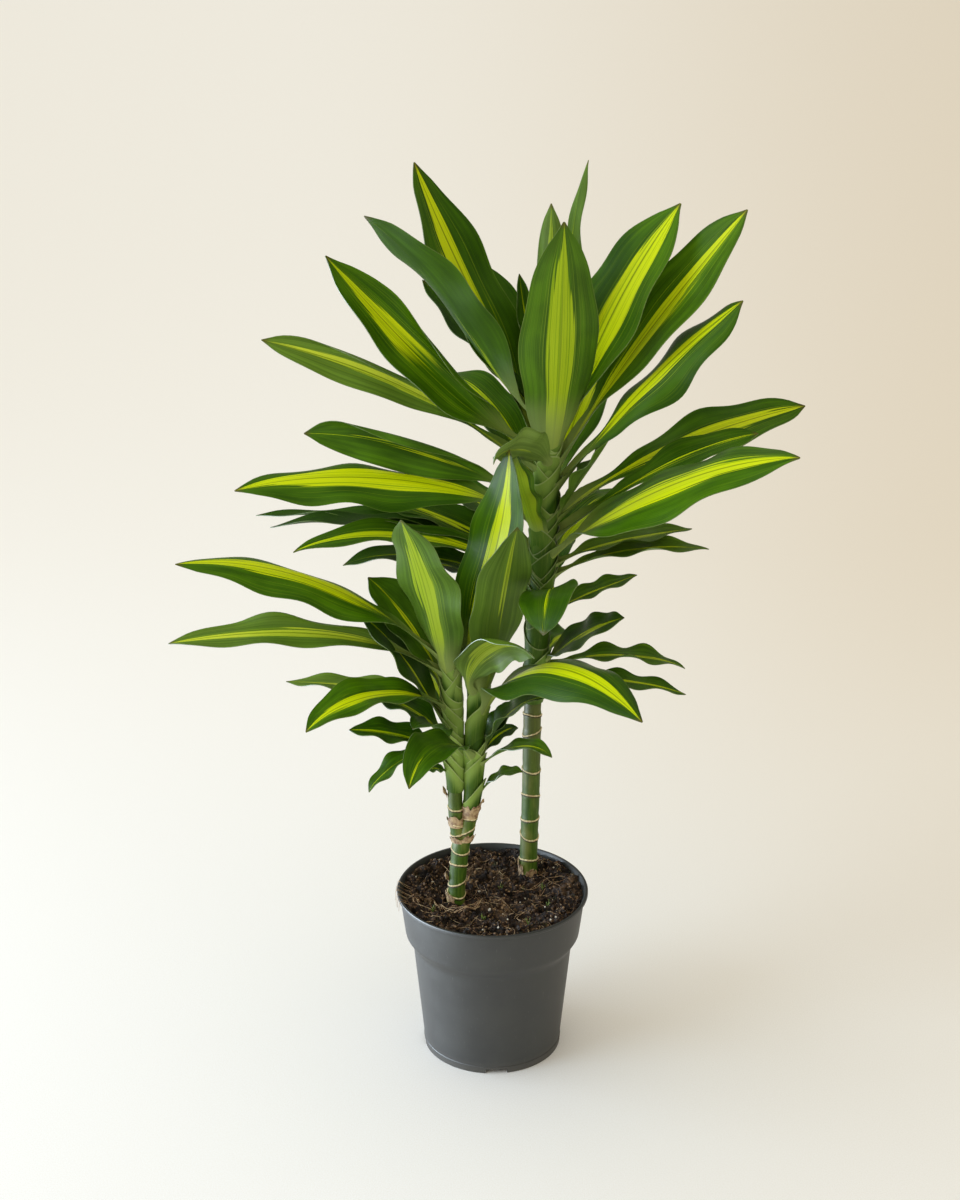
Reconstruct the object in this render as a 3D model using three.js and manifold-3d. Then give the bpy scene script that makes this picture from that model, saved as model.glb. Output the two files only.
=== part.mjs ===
// Potted corn plant: a tall straight cane and a low forked cane in a round nursery pot.
// Millimetres, Z up, origin at the centre of the pot's foot, viewer on the -Y side.
import * as THREE from 'three';
import { mergeVertices } from 'three/addons/utils/BufferGeometryUtils.js';
import Module from 'manifold-3d';

const wasm = await Module();
wasm.setup();

// ---- driving dimensions -------------------------------------------------------------------
const GAP = 0.3;              // air between pieces that only touch
const POT_SIDES = 36;
const POT = {
  height: 154, lipR: 85, lipDrop: 3, collarTopR: 82.4, collarFootR: 77.9, collarFootZ: 114,
  bodyTopR: 71, bodyTopZ: 102, bandR: 62, bandZ: 6.5, footR: 61.3, wall: 1.5,
  footWidth: 3, floorZ: 4.5, notches: 4, notchWidth: 19, notchHeight: 4.3, firstNotch: -86.5,
  drainRing: 47, drainR: 4.5,
};
const SOIL_Z = 146;           // mean level of the potting soil round the canes
const SOIL_RISE = 4.5;        // how much higher it lies along the pot's wall
const ROOT_Z = 84;            // how far down the canes reach into the soil
const BLADE = 0.9;            // thickness of a leaf

// Centre lines of the three shoots, from the lowest point of the shoot to its growing tip.
const tallLine = [[32, 43.5, 84], [32.5, 43.5, 146], [34.4, 43.5, 230], [35.5, 43.5, 318],
  [41, 43.5, 413], [44.5, 43.5, 505], [49, 43.5, 600]];
const leftLine = [[-26, -5.7, 190], [-32, -5.7, 225], [-33, -5.7, 284], [-35, -5.7, 350],
  [-38, -5.7, 420]];
const rightLine = [[-28.5, -5.7, 190], [-21.6, -5.7, 220], [-17.2, -5.7, 254],
  [-15.8, -5.7, 303], [-13, -5.7, 341], [-10, -5.7, 410]];
const forkLine = [[-35, -5.7, 84], [-32.4, -5.7, 146], [-29.6, -5.7, 185], [-26.9, -5.7, 210]];

// One row a leaf: height where it leaves the shoot, tip in the frame of the part, width, shape.
// lean: how far the foot leans out. pitch: climb at the tip. rise, run: how long the foot and
// the tip keep their direction. roll: turn of the blade about its midrib. fold: how far the
// halves close to a trough (negative is a ridge). curl: one half rolls in [side, angle, from, to].
// neck: width of the stalk as a share of the width. peak: how far along the blade is widest.
const tallLeaves = [
  { at: 535, tip: [-66, 108, 781], width: 68, pitch: 66, rise: .25, fold: 30, roll: -10, wave: 4 },
  { at: 575, tip: [-105, 40, 752], width: 50, lean: 50, pitch: 36, rise: .25, run: .4, peak: .44,
    fold: 40, roll: 62, curl: [-1, 120, .02, .9] },
  { at: 548, tip: [-137, 36, 720], width: 56, lean: 62, pitch: 50, rise: .25, peak: .46, fold: 50,
    roll: -48, curl: [-1, 150, .05, .8] },
  { at: 530, tip: [-192, 40, 648], width: 36, lean: 50, pitch: 14, rise: .3, run: .45, peak: .62,
    fold: 30, roll: -56, curl: [-1, 150, .25, 1], neck: .14 },
  { at: 500, tip: [-160, 53, 562], width: 44, lean: 50, pitch: -4, rise: .2, peak: .56, fold: 30,
    roll: -66, curl: [-1, 170, .15, 1], neck: .16 },
  { at: 480, tip: [-216, 10, 526], width: 54, lean: 34, pitch: -15, rise: .2, fold: -110, roll: -28,
    wave: -5 },
  { at: 560, tip: [22, 100, 688], width: 24, pitch: 75, rise: .3, fold: 120 },
  { at: 555, tip: [-8, 130, 690], width: 52, pitch: 60, rise: .3 },
  { at: 580, tip: [47, 54, 759], width: 34, pitch: 85, rise: .3, fold: 140, roll: 170 },
  { at: 580, tip: [78, 80, 789], width: 19, pitch: 60, rise: .3, fold: 90, roll: 170 },
  { at: 552, tip: [56, 8, 755], width: 68, pitch: 87, rise: .35, neck: .6, peak: .42, fold: 30 },
  { at: 545, tip: [155, 84, 752], width: 78, pitch: 50, rise: .3, fold: 35, roll: 15 },
  { at: 530, tip: [208, 62, 752], width: 60, lean: 20, pitch: 50, rise: .22, peak: .6, fold: 35,
    roll: 30 },
  { at: 512, tip: [204, 30, 684], width: 54, lean: 30, pitch: 38, rise: .25, peak: .6, fold: -100,
    roll: 30, wave: 5 },
  { at: 560, tip: [-60, 110, 680], width: 44, pitch: 45, rise: .25 },
  { at: 480, tip: [271, 113, 567], width: 54, lean: 30, pitch: 5, rise: .2, peak: .64, fold: 10,
    roll: 20, wave: 4 },
  { at: 452, tip: [241, -87, 589], width: 76, lean: 35, pitch: 10, rise: .18, peak: .44, fold: -40,
    roll: 24 },
  { at: 485, tip: [96, 28, 564], width: 36, lean: 20, pitch: 60, rise: .3, fold: 80 },
  { at: 466, tip: [224, 50, 563], width: 38, lean: 34, pitch: 12, rise: .2, peak: .66, roll: 20 },
  { at: 430, tip: [185, 40, 462], width: 34, lean: 25, pitch: -8, rise: .2 },
  { at: 440, tip: [172, 63, 472], width: 34, lean: 30, pitch: 5, rise: .2 },
  { at: 535, tip: [0, -20, 560], width: 44, pitch: -70, rise: .25, run: .3, swing: 50 },
  { at: 435, tip: [-206, 82, 477], width: 30, lean: 30, pitch: -8, rise: .2, fold: 60, roll: 6 },
  { at: 430, tip: [-191, 50, 478], width: 36, lean: 30, pitch: -15, rise: .2, fold: 60, roll: 4 },
  { at: 425, tip: [-168, 2, 474], width: 36, lean: 25, pitch: -25, rise: .2, roll: -14 },
  { at: 410, tip: [-130, 60, 439], width: 36, lean: 25, pitch: -30, rise: .2, roll: -10 },
  { at: 430, tip: [-113, 90, 492], width: 44, lean: 25, pitch: 0, rise: .2, roll: -10 },
  { at: 398, tip: [125, 53, 433], width: 32, lean: 30, pitch: 20, rise: .15, wave: 2 },
  { at: 412, tip: [40, -99, 442], width: 50, lean: 42, pitch: -80, rise: .35, run: .35, peak: .66,
    fold: 20, swing: 22, wave: 1.5 },
  { at: 354, tip: [112, 10, 411], width: 50, lean: 30, pitch: 22, rise: .2, peak: .42, fold: 20,
    roll: 15, wave: 2 },
  { at: 345, tip: [168, 40, 350], width: 32, lean: 20, pitch: -30, rise: .15, wave: 4 },
  { at: 326, tip: [171, 55, 318], width: 28, lean: 20, pitch: -24, rise: .15, roll: 5 },
  { at: 420, tip: [-52, 60, 440], width: 44, rise: .2 },
  // behind the cane, hidden from the front
  { at: 540, tip: [25, 170, 625], width: 52, lean: 25, pitch: -20 },
  { at: 505, tip: [-50, 172, 575], width: 52, lean: 30, pitch: -25 },
  { at: 500, tip: [105, 168, 585], width: 52, lean: 30, pitch: -20 },
  { at: 465, tip: [30, 174, 515], width: 52, lean: 30, pitch: -30 },
  { at: 445, tip: [-75, 165, 470], width: 48, lean: 30, pitch: -30 },
  { at: 440, tip: [125, 150, 470], width: 48, lean: 30, pitch: -30 },
  { at: 405, tip: [60, 165, 430], width: 44, lean: 30, pitch: -35 },
  { at: 380, tip: [-10, 150, 390], width: 42, lean: 30, pitch: -35 },
  { at: 350, tip: [85, 125, 343], width: 38, lean: 30, pitch: -35 },
  // upright in front of the cane
  { at: 470, tip: [18, 12, 560], width: 30, lean: 14, pitch: 86, rise: .3, neck: .8, fold: 60 },
];
const leftLeaves = [
  { at: 375, tip: [-262, -40, 480], width: 56, lean: 35, pitch: -5, rise: .3, fold: -90, roll: -10,
    neck: .15 },
  { at: 362, tip: [-274, -20, 400], width: 35, lean: 42, pitch: -10, rise: .3, fold: 30, roll: -22,
    curl: [-1, 140, .15, .75] },
  { at: 350, tip: [-107, 30, 440], width: 52, pitch: 30, rise: .2, roll: -15 },
  { at: 365, tip: [-75, -56, 525], width: 65, pitch: 62, rise: .42, neck: .5, peak: .48, fold: 30 },
  { at: 358, tip: [13, -12, 570], width: 58, pitch: 90, rise: .3, neck: .5, peak: .46, fold: 35,
    roll: 55 },
  { at: 325, tip: [-180, 30, 342], width: 24, lean: 20, pitch: -5, rise: .2, roll: -10 },
  { at: 328, tip: [-155, -86, 349], width: 44, pitch: -40, rise: .22, run: .4, roll: -12 },
  { at: 315, tip: [-115, -6, 423], width: 52, lean: 25, pitch: 35, rise: .2, roll: -15 },
  { at: 285, tip: [-123, -26, 322], width: 34, pitch: 5, rise: .2, roll: -12 },
  { at: 296, tip: [-106, -46, 273], width: 24, pitch: -62, rise: .2 },
  { at: 300, tip: [-68, -45, 332], width: 34, pitch: -30, rise: .2, wave: 1.5 },
  { at: 300, tip: [-112, 18, 335], width: 40, pitch: -10, rise: .2 },
  { at: 272, tip: [-59, -14, 278], width: 22, pitch: -20, rise: .2, wave: 1.5 },
  // behind, hidden from the front
  { at: 345, tip: [-95, 140, 388], width: 48, lean: 25, pitch: -15 },
  { at: 335, tip: [-112, 120, 362], width: 42, lean: 25, pitch: -10 },
  { at: 300, tip: [-60, 110, 315], width: 38, lean: 25, pitch: -30 },
];
const rightLeaves = [
  { at: 346, tip: [19, -56, 519], width: 56, lean: 20, pitch: 70, rise: .3, neck: .5, fold: 35 },
  { at: 346, tip: [33, -96, 420], width: 44, lean: 36, pitch: -15, rise: .42, run: .45, peak: .5,
    fold: -100, roll: 25, swing: -66 },
  { at: 325, tip: [116, -176, 401], width: 64, lean: 20, pitch: -24, rise: .36, run: .4, peak: .4,
    fold: -80, roll: 16 },
  { at: 284, tip: [-69, -128, 318], width: 40, pitch: -60, rise: .2, run: .4, roll: -15 },
  { at: 285, tip: [22, 12, 306], width: 26, pitch: -20, rise: .2, wave: 1.5 },
  { at: 278, tip: [50, -46, 306], width: 26, lean: 25, pitch: -40, rise: .25, wave: 1.5 },
  { at: 252, tip: [26, -16, 277], width: 22, pitch: -10, rise: .25, wave: 1.5 },
  { at: 290, tip: [45, -16, 348], width: 48, rise: .2 },
  { at: 290, tip: [26, 8, 331], width: 30, pitch: 10, rise: .2, wave: 1.5 },
];

// ---- small helpers ------------------------------------------------------------------------
const rad = THREE.MathUtils.degToRad;
const smooth = (a, b, x) => THREE.MathUtils.smoothstep(x, a, b);
const vec = (p) => new THREE.Vector3(...p);

// Smooth curve through (xs, ys), read at x.
function through(xs, ys, x) {
  const last = xs.length - 1;
  let i = 0;
  while (i < last - 1 && x > xs[i + 1]) i++;
  const slope = (k) => {
    const a = Math.max(k - 1, 0), b = Math.min(k + 1, last);
    return (ys[b] - ys[a]) / (xs[b] - xs[a]);
  };
  const h = xs[i + 1] - xs[i], t = (x - xs[i]) / h, t2 = t * t, t3 = t2 * t;
  return (2 * t3 - 3 * t2 + 1) * ys[i] + (t3 - 2 * t2 + t) * h * slope(i)
    + (3 * t2 - 2 * t3) * ys[i + 1] + (t3 - t2) * h * slope(i + 1);
}
const lineAt = (line, z) => new THREE.Vector3(
  through(line.map((p) => p[2]), line.map((p) => p[0]), z),
  through(line.map((p) => p[2]), line.map((p) => p[1]), z), z);

// Closed solid from points and outward triangles.
function solid(points, faces) {
  const mesh = new wasm.Mesh({
    numProp: 3,
    vertProperties: new Float32Array(points.flat()),
    triVerts: new Uint32Array(faces.flat()),
  });
  mesh.merge();
  return new wasm.Manifold(mesh);
}
function fromGeometry(geometry) {
  geometry.deleteAttribute('normal');
  geometry.deleteAttribute('uv');
  const g = mergeVertices(geometry, 1e-4);
  return new wasm.Manifold(new wasm.Mesh({
    numProp: 3,
    vertProperties: new Float32Array(g.attributes.position.array),
    triVerts: new Uint32Array(g.index.array),
  }));
}

// Rings of points joined into a closed skin, with a flat cap at each end.
function loft(rings) {
  const n = rings[0].length, points = rings.flat(), faces = [];
  for (let r = 0; r < rings.length - 1; r++) {
    for (let i = 0; i < n; i++) {
      const a = r * n + i, b = r * n + (i + 1) % n;
      faces.push([a, b, b + n], [a, b + n, a + n]);
    }
  }
  const top = (rings.length - 1) * n;
  for (let i = 1; i < n - 1; i++) faces.push([0, i + 1, i], [top, top + i, top + i + 1]);
  return solid(points, faces);
}
function ring(centre, r, sides = 10) {
  return Array.from({ length: sides }, (_, i) => {
    const a = (i + 0.5) * 2 * Math.PI / sides;
    return [centre.x + r * Math.cos(a), centre.y + r * Math.sin(a), centre.z];
  });
}
const stem = (line, stations) => loft(stations.map(([z, r]) => ring(lineAt(line, z), r)));

// ---- pot ----------------------------------------------------------------------------------
const innerWall = [
  [POT.lipR - 2.8, POT.height], [POT.collarTopR - 1.7, POT.height - 4],
  [POT.collarFootR - POT.wall, POT.collarFootZ + 1], [POT.bodyTopR - POT.wall, POT.bodyTopZ + 1],
  [POT.footR - POT.wall, POT.floorZ + POT.wall],
];
const potProfile = [
  [0, POT.floorZ], [POT.footR - POT.footWidth, POT.floorZ], [POT.footR - POT.footWidth, 0],
  [POT.footR, 0], [POT.bandR, POT.bandZ], [POT.bandR - 0.4, POT.bandZ + 0.4],
  [POT.bodyTopR, POT.bodyTopZ], [POT.bodyTopR + 1.2, POT.bodyTopZ + 3],
  [POT.collarFootR - 1.6, POT.collarFootZ - 3.2], [POT.collarFootR, POT.collarFootZ],
  [POT.collarTopR, POT.height - POT.lipDrop - 0.8], [POT.lipR, POT.height - POT.lipDrop],
  [POT.lipR, POT.height],
  ...innerWall, [0, POT.floorZ + POT.wall],
].map(([r, z]) => new THREE.Vector2(r, z));

const upright = new THREE.Matrix4().makeRotationX(Math.PI / 2);
function turned(profile) {
  return fromGeometry(new THREE.LatheGeometry(profile, POT_SIDES).applyMatrix4(upright));
}
let pot = turned(potProfile);
for (let i = 0; i < POT.notches; i++) {
  const angle = rad(POT.firstNotch + i * 360 / POT.notches);
  const notch = new THREE.BoxGeometry(12, POT.notchWidth, 2 * POT.notchHeight)
    .translate(POT.footR - 1, 0, 0).rotateZ(angle);
  const drain = new THREE.CylinderGeometry(POT.drainR, POT.drainR, 8, 10)
    .rotateX(Math.PI / 2).translate(POT.drainRing, 0, POT.floorZ).rotateZ(angle);
  pot = pot.subtract(fromGeometry(notch)).subtract(fromGeometry(drain));
}

// ---- canes --------------------------------------------------------------------------------
// A leaf scar is a low raised ring: it takes three stations of the stem.
const scar = (z, r) => [[z - 1.5, r], [z, r + 0.7], [z + 1.5, r]];
const tallStations = [[ROOT_Z, 6], [140, 9], [150, 8.2],
  ...[161, 185, 202, 225, 251, 288, 305].flatMap((z) => scar(z, 8)),
  [316, 7.6], [319, 6.2], [560, 5]];
const forkStations = [[ROOT_Z, 6], [140, 8.4], [148, 7.7],
  ...[153, 164, 182, 197].flatMap((z) => scar(z, 7.6)), [203, 8.2], [208, 6.5]];
const leftStations = [[192, 5], [204, 6.4], [211, 6.4], ...scar(220, 6.4), ...scar(238, 6.4),
  [254, 6.3], [256, 5], [385, 4]];
const rightStations = [[192, 5], [204, 6.4], [209, 6.4], ...scar(216, 6.4), ...scar(228, 6.8),
  [238, 6.6], [240, 5.2], [385, 4]];
const tallCane = stem(tallLine, tallStations);
const forkedCane = stem(forkLine, forkStations)
  .add(stem(leftLine, leftStations)).add(stem(rightLine, rightStations));

// ---- soil ---------------------------------------------------------------------------------
const relief = (x, y) => 1.7 * Math.sin(x * 0.11 + 1) * Math.cos(y * 0.13)
  + 1.3 * Math.sin((x + y) * 0.21) + 0.9 * Math.cos((x - 2 * y) * 0.19 + 2)
  + SOIL_RISE * smooth(45, 72, Math.hypot(x, y));
function soilBody() {
  const radii = [79, 68, 54, 40, 26, 12], rings = [];
  const circle = (r, height) => Array.from({ length: POT_SIDES }, (_, i) => {
    const a = i * 2 * Math.PI / POT_SIDES, x = r * Math.cos(a), y = r * Math.sin(a);
    return [x, y, height(x, y)];
  });
  const [, mouth, step, shelf, foot] = innerWall;
  const brim = SOIL_Z;
  const brimR = step[0] + (mouth[0] - step[0]) * (brim - step[1]) / (mouth[1] - step[1]);
  for (const [r, z] of [[foot[0], foot[1] + GAP], shelf, step, [brimR, brim]]) {
    rings.push(circle(r - GAP, () => z));
  }
  for (const r of radii) rings.push(circle(r, (x, y) => SOIL_Z + relief(x, y)));
  return loft(rings);
}
const swollen = (stations) => stations.map(([z, r]) => [z, r + GAP]);
function plug(line, stations, from) {
  const wide = swollen(stations);
  return stem(line, [[from, wide[0][1]], ...wide.slice(1)]);
}
const soil = soilBody()
  .subtract(plug(tallLine, tallStations, ROOT_Z - GAP))
  .subtract(plug(forkLine, forkStations, ROOT_Z - GAP));

// ---- leaves -------------------------------------------------------------------------------
const outlineT = [0, .07, .16, .26, .38, .52, .68, .82, .92, .97, 1];
function bladeWidth(leaf, along) {
  const w = leaf.width, n = leaf.neck, t = along ** (Math.log(.52) / Math.log(leaf.peak));
  return through(outlineT, [leaf.sheath, (leaf.sheath + n * w) / 2, n * w,
    (n + .36 * (1 - n)) * w, .84 * w, w, .95 * w, .73 * w, .43 * w, .17 * w, .02 * w], t);
}
const clasp = (leaf, t) => through([0, .08, .18, .35, .7, 1],
  [190, 130, 95, leaf.fold + 15, leaf.fold, leaf.fold * .6], t);

function midrib(leaf, shoot) {
  const base = lineAt(shoot.line, leaf.at), tip = vec(leaf.tip);
  const up = lineAt(shoot.line, leaf.at + 5).sub(lineAt(shoot.line, leaf.at - 5)).normalize();
  const heading = Math.atan2(tip.y - base.y, tip.x - base.x), start = heading + rad(leaf.swing);
  const out = new THREE.Vector3(Math.cos(start), Math.sin(start), 0);
  const p0 = base.addScaledVector(out, shoot.core * 0.85), span = tip.distanceTo(p0);
  const first = up.multiplyScalar(Math.cos(rad(leaf.lean)))
    .addScaledVector(out, Math.sin(rad(leaf.lean))).normalize();
  const last = new THREE.Vector3(Math.cos(heading) * Math.cos(rad(leaf.pitch)),
    Math.sin(heading) * Math.cos(rad(leaf.pitch)), Math.sin(rad(leaf.pitch)));
  const curve = new THREE.CubicBezierCurve3(p0, p0.clone().addScaledVector(first, span * leaf.rise),
    tip.clone().addScaledVector(last, -span * leaf.run), tip);
  curve.side = new THREE.Vector3(-Math.sin(start), Math.cos(start), 0);
  return curve;
}

// Closed thin solid of one leaf: a grid of stations along and across it, on both faces.
function leafBody(row, shoot, index) {
  const leaf = { lean: 12, pitch: 0, rise: .28, run: .35, fold: 50, neck: .22, peak: .52, wave: 3,
    roll: 0, swing: 0, sheath: 2.2 * shoot.core, ...row };
  const big = leaf.width >= 54 || leaf.curl, along = big ? 9 : 7, across = big ? 4 : 2;
  const curve = midrib(leaf, shoot), phase = index * 2.4;
  const side = curve.side.clone(), upper = [], lower = [];
  for (let i = 0; i <= along; i++) {
    const t = i / along, middle = curve.getPointAt(t), tangent = curve.getTangentAt(t);
    side.addScaledVector(tangent, -side.dot(tangent)).normalize();
    const turn = rad(leaf.roll * smooth(.02, .35, t));
    const s = side.clone().applyAxisAngle(tangent, turn), up = tangent.clone().cross(s);
    const width = bladeWidth(leaf, t);
    const swell = leaf.wave * Math.max(Math.sin(Math.PI * (t - .18) / .82), 0) ** .7;
    for (let j = 0; j <= across; j++) {
      const u = 2 * j / across - 1;
      let half = rad(clasp(leaf, t)) / 2;
      if (leaf.curl && u * leaf.curl[0] > 0) {
        const k = THREE.MathUtils.clamp((t - leaf.curl[2]) / (leaf.curl[3] - leaf.curl[2]), 0, 1);
        half += rad(leaf.curl[1]) * Math.sin(Math.PI * k) ** 1.2;
      }
      if (Math.abs(half) < .02) half = .02;
      const bend = Math.abs(u) * half, radius = width / 2 / half;
      const ripple = u < 0 ? Math.sin(6 * Math.PI * t + phase)
        : Math.sin(6.8 * Math.PI * t + phase * 1.7 + 2.1);
      const y = radius * Math.sin(bend) * Math.sign(u);
      const z = radius * (1 - Math.cos(bend)) + swell * ripple * Math.abs(u) ** 1.6;
      const normal = up.clone().multiplyScalar(Math.cos(bend))
        .addScaledVector(s, -Math.sin(bend) * Math.sign(u));
      const p = middle.clone().addScaledVector(s, y).addScaledVector(up, z);
      upper.push(p.clone().addScaledVector(normal, BLADE / 2).toArray());
      lower.push(p.addScaledVector(normal, -BLADE / 2).toArray());
    }
  }
  const row0 = across + 1, count = upper.length, faces = [];
  const quad = (a, b, c, d) => faces.push([a, b, c], [a, c, d]);
  for (let i = 0; i < along; i++) {
    for (let j = 0; j < across; j++) {
      const a = i * row0 + j, b = a + 1, c = b + row0, d = a + row0;
      faces.push([a, d, b], [b, d, c]);
      faces.push([a + count, b + count, d + count], [b + count, c + count, d + count]);
    }
    const l = i * row0, r = l + across;
    quad(l, l + count, l + row0 + count, l + row0);
    quad(r, r + row0, r + row0 + count, r + count);
  }
  const end = along * row0;
  for (let j = 0; j < across; j++) {
    quad(j, j + 1, j + 1 + count, j + count);
    quad(end + j, end + j + count, end + j + 1 + count, end + j + 1);
  }
  return solid([...upper, ...lower], faces);
}

// A crown is every leaf of one shoot, held by the sleeve of sheaths around the cane.
function crown(shoot, rows) {
  const sleeve = stem(shoot.line, shoot.sleeve);
  const leaves = rows.map((row, i) => leafBody(row, shoot, i));
  const hole = swollen(shoot.cane.filter(([z]) => z > shoot.sleeve[0][0] - 3));
  hole[0][0] = shoot.sleeve[0][0] - 1;
  hole[hole.length - 1][0] += GAP * 2;
  const body = wasm.Manifold.union([sleeve, ...leaves]).subtract(stem(shoot.line, hole));
  // leaf feet that cross can shut in a pocket of air: only the outer skin is kept
  return wasm.Manifold.union(body.decompose().filter((shell) => shell.volume() > 0));
}
const tallCrown = crown({ line: tallLine, core: 11, cane: tallStations,
  sleeve: [[320, 8.8], [345, 9.9], [440, 10.6], [530, 10.4], [575, 7.8], [598, 4]] }, tallLeaves);
const leftCrown = crown({ line: leftLine, core: 9, cane: leftStations,
  sleeve: [[257, 7], [285, 8], [350, 8.4], [385, 7.2], [405, 4]] }, leftLeaves);
const rightCrown = crown({ line: rightLine, core: 9, cane: rightStations,
  sleeve: [[241, 7.3], [270, 8], [345, 8.4], [385, 7.2], [405, 4]] }, rightLeaves);

// ---- assembly -----------------------------------------------------------------------------
function toMesh(name, body, colour, roughness) {
  const mesh = body.getMesh(), geometry = new THREE.BufferGeometry();
  const positions = new Float32Array(mesh.numVert * 3);
  for (let i = 0; i < mesh.numVert; i++) {
    for (let k = 0; k < 3; k++) positions[3 * i + k] = mesh.vertProperties[i * mesh.numProp + k];
  }
  geometry.setAttribute('position', new THREE.BufferAttribute(positions, 3));
  geometry.setIndex(new THREE.BufferAttribute(mesh.triVerts, 1));
  const material = new THREE.MeshStandardMaterial({ color: colour, roughness, metalness: 0 });
  const piece = new THREE.Mesh(geometry, material);
  piece.name = name;
  return piece;
}
const plant = new THREE.Group();
plant.name = 'potted_corn_plant';
plant.add(
  toMesh('pot', pot, 0x4b4b48, 0.75),
  toMesh('soil', soil, 0x33241a, 0.98),
  toMesh('cane_tall', tallCane, 0x6f8044, 0.7),
  toMesh('cane_forked', forkedCane, 0x6f8a48, 0.7),
  toMesh('crown_tall', tallCrown, 0x2f6b23, 0.45),
  toMesh('crown_left', leftCrown, 0x357327, 0.45),
  toMesh('crown_right', rightCrown, 0x357327, 0.45),
);
export default plant;
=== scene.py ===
# Potted corn plant: a smooth pot, crumbly soil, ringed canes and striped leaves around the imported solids.
import math
import random

import bpy
from mathutils import Matrix, Vector, noise


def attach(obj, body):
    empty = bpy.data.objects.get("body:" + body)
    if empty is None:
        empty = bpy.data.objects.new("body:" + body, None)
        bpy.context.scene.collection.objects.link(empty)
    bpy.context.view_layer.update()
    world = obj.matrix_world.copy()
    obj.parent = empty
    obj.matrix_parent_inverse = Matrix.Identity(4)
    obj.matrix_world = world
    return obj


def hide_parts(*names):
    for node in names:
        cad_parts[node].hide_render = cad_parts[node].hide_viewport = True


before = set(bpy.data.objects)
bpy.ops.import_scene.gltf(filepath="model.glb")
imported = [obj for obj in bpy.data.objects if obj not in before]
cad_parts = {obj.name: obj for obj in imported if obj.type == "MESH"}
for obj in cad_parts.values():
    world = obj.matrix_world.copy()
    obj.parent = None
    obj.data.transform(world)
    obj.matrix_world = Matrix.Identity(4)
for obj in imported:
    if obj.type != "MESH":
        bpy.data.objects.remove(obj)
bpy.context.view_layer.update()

mm = 0.001  # tables are in millimetres, as plants and pots are measured; the scene is in metres
print("frame loaded:", ", ".join(sorted(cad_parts)))


def deselectAll():
    active = bpy.context.view_layer.objects.active
    if active and active.mode != "OBJECT":
        bpy.ops.object.mode_set(mode="OBJECT")
    bpy.ops.object.select_all(action="DESELECT")


def pick(*pieces):
    deselectAll()
    for piece in pieces:
        piece.select_set(True)
    bpy.context.view_layer.objects.active = pieces[0]


def settle(piece):  # place, turn and size go into the mesh
    pick(piece)
    bpy.ops.object.transform_apply(location=True, rotation=True, scale=True)
    return piece


def finishWith(piece, kind, **settings):
    pick(piece)
    modifier = piece.modifiers.new(kind.title(), kind)
    for name, value in settings.items():
        setattr(modifier, name, value)
    bpy.ops.object.modifier_apply(modifier=modifier.name)
    return piece


def joinAs(name, pieces):
    pick(*pieces)
    bpy.ops.object.join()
    whole = bpy.context.view_layer.objects.active
    whole.name = whole.data.name = name
    return whole


def smoothShade(piece, degrees=35):
    pick(piece)
    bpy.ops.object.shade_smooth_by_angle(angle=math.radians(degrees))
    return piece


def facesOut(piece):
    pick(piece)
    bpy.ops.object.mode_set(mode="EDIT")
    bpy.ops.mesh.select_all(action="SELECT")
    bpy.ops.mesh.remove_doubles(threshold=0.01 * mm)
    bpy.ops.mesh.normals_make_consistent(inside=False)
    bpy.ops.object.mode_set(mode="OBJECT")
    return piece


def smoothStep(low, high, x):
    t = min(max((x - low) / (high - low), 0), 1)
    return t * t * (3 - 2 * t)


# a ring is (centre, radius); a disc at the first ring is extruded through the others
def growTube(name, rings, sides=40):
    centre, radius = rings[0]
    deselectAll()
    bpy.ops.mesh.primitive_circle_add(vertices=sides, radius=radius, location=centre, fill_type="NGON")
    piece = bpy.context.active_object
    settle(piece)
    bpy.ops.object.mode_set(mode="EDIT")
    bpy.ops.mesh.select_all(action="SELECT")
    for nextCentre, nextRadius in rings[1:]:
        lift = Vector(nextCentre) - Vector(centre)
        bpy.ops.mesh.extrude_region_move(TRANSFORM_OT_translate={"value": lift})
        ratio = nextRadius / radius
        bpy.ops.transform.resize(value=(ratio, ratio, 1), center_override=nextCentre)
        centre, radius = nextCentre, nextRadius
    bpy.ops.object.mode_set(mode="OBJECT")
    piece.name = piece.data.name = name
    return facesOut(piece)


def rgb(red, green, blue):  # colours are picked as they look on screen, 0 to 255
    def linear(value):
        value /= 255
        return value / 12.92 if value <= 0.04045 else ((value + 0.055) / 1.055) ** 2.4
    return linear(red), linear(green), linear(blue), 1


def put(tree, kind, inputs=None, **settings):
    node = tree.nodes.new("ShaderNode" + kind)
    for name, value in settings.items():
        setattr(node, name, value)
    for name, value in (inputs or {}).items():
        if isinstance(value, bpy.types.NodeSocket):
            tree.links.new(value, node.inputs[name])
        else:
            node.inputs[name].default_value = value
    return node


def calc(tree, operation, *values):
    return put(tree, "Math", dict(enumerate(values)), operation=operation).outputs[0]


def step(tree, value, low, high):  # 0 below low, 1 above high, smooth between
    return put(tree, "MapRange", {"Value": value, "From Min": low, "From Max": high},
               interpolation_type="SMOOTHSTEP").outputs["Result"]


def tint(tree, share, first, second):
    return put(tree, "Mix", {0: share, 6: first, 7: second}, data_type="RGBA", clamp_factor=True).outputs[2]


def stain(tree, base, mask, strength, colour):  # a colour laid over the base where the mask is
    return tint(tree, calc(tree, "MULTIPLY", mask, strength), base, colour)


def vector(tree, x, y, z=0.0):
    return put(tree, "CombineXYZ", {"X": x, "Y": y, "Z": z}).outputs[0]


def cloud(tree, place, scale, detail=2.0, rough=0.5):
    inputs = {"Vector": place, "Scale": scale, "Detail": detail, "Roughness": rough}
    return put(tree, "TexNoise", inputs).outputs["Fac"]


def split(tree, value):
    return put(tree, "SeparateXYZ", {0: value}).outputs


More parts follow.
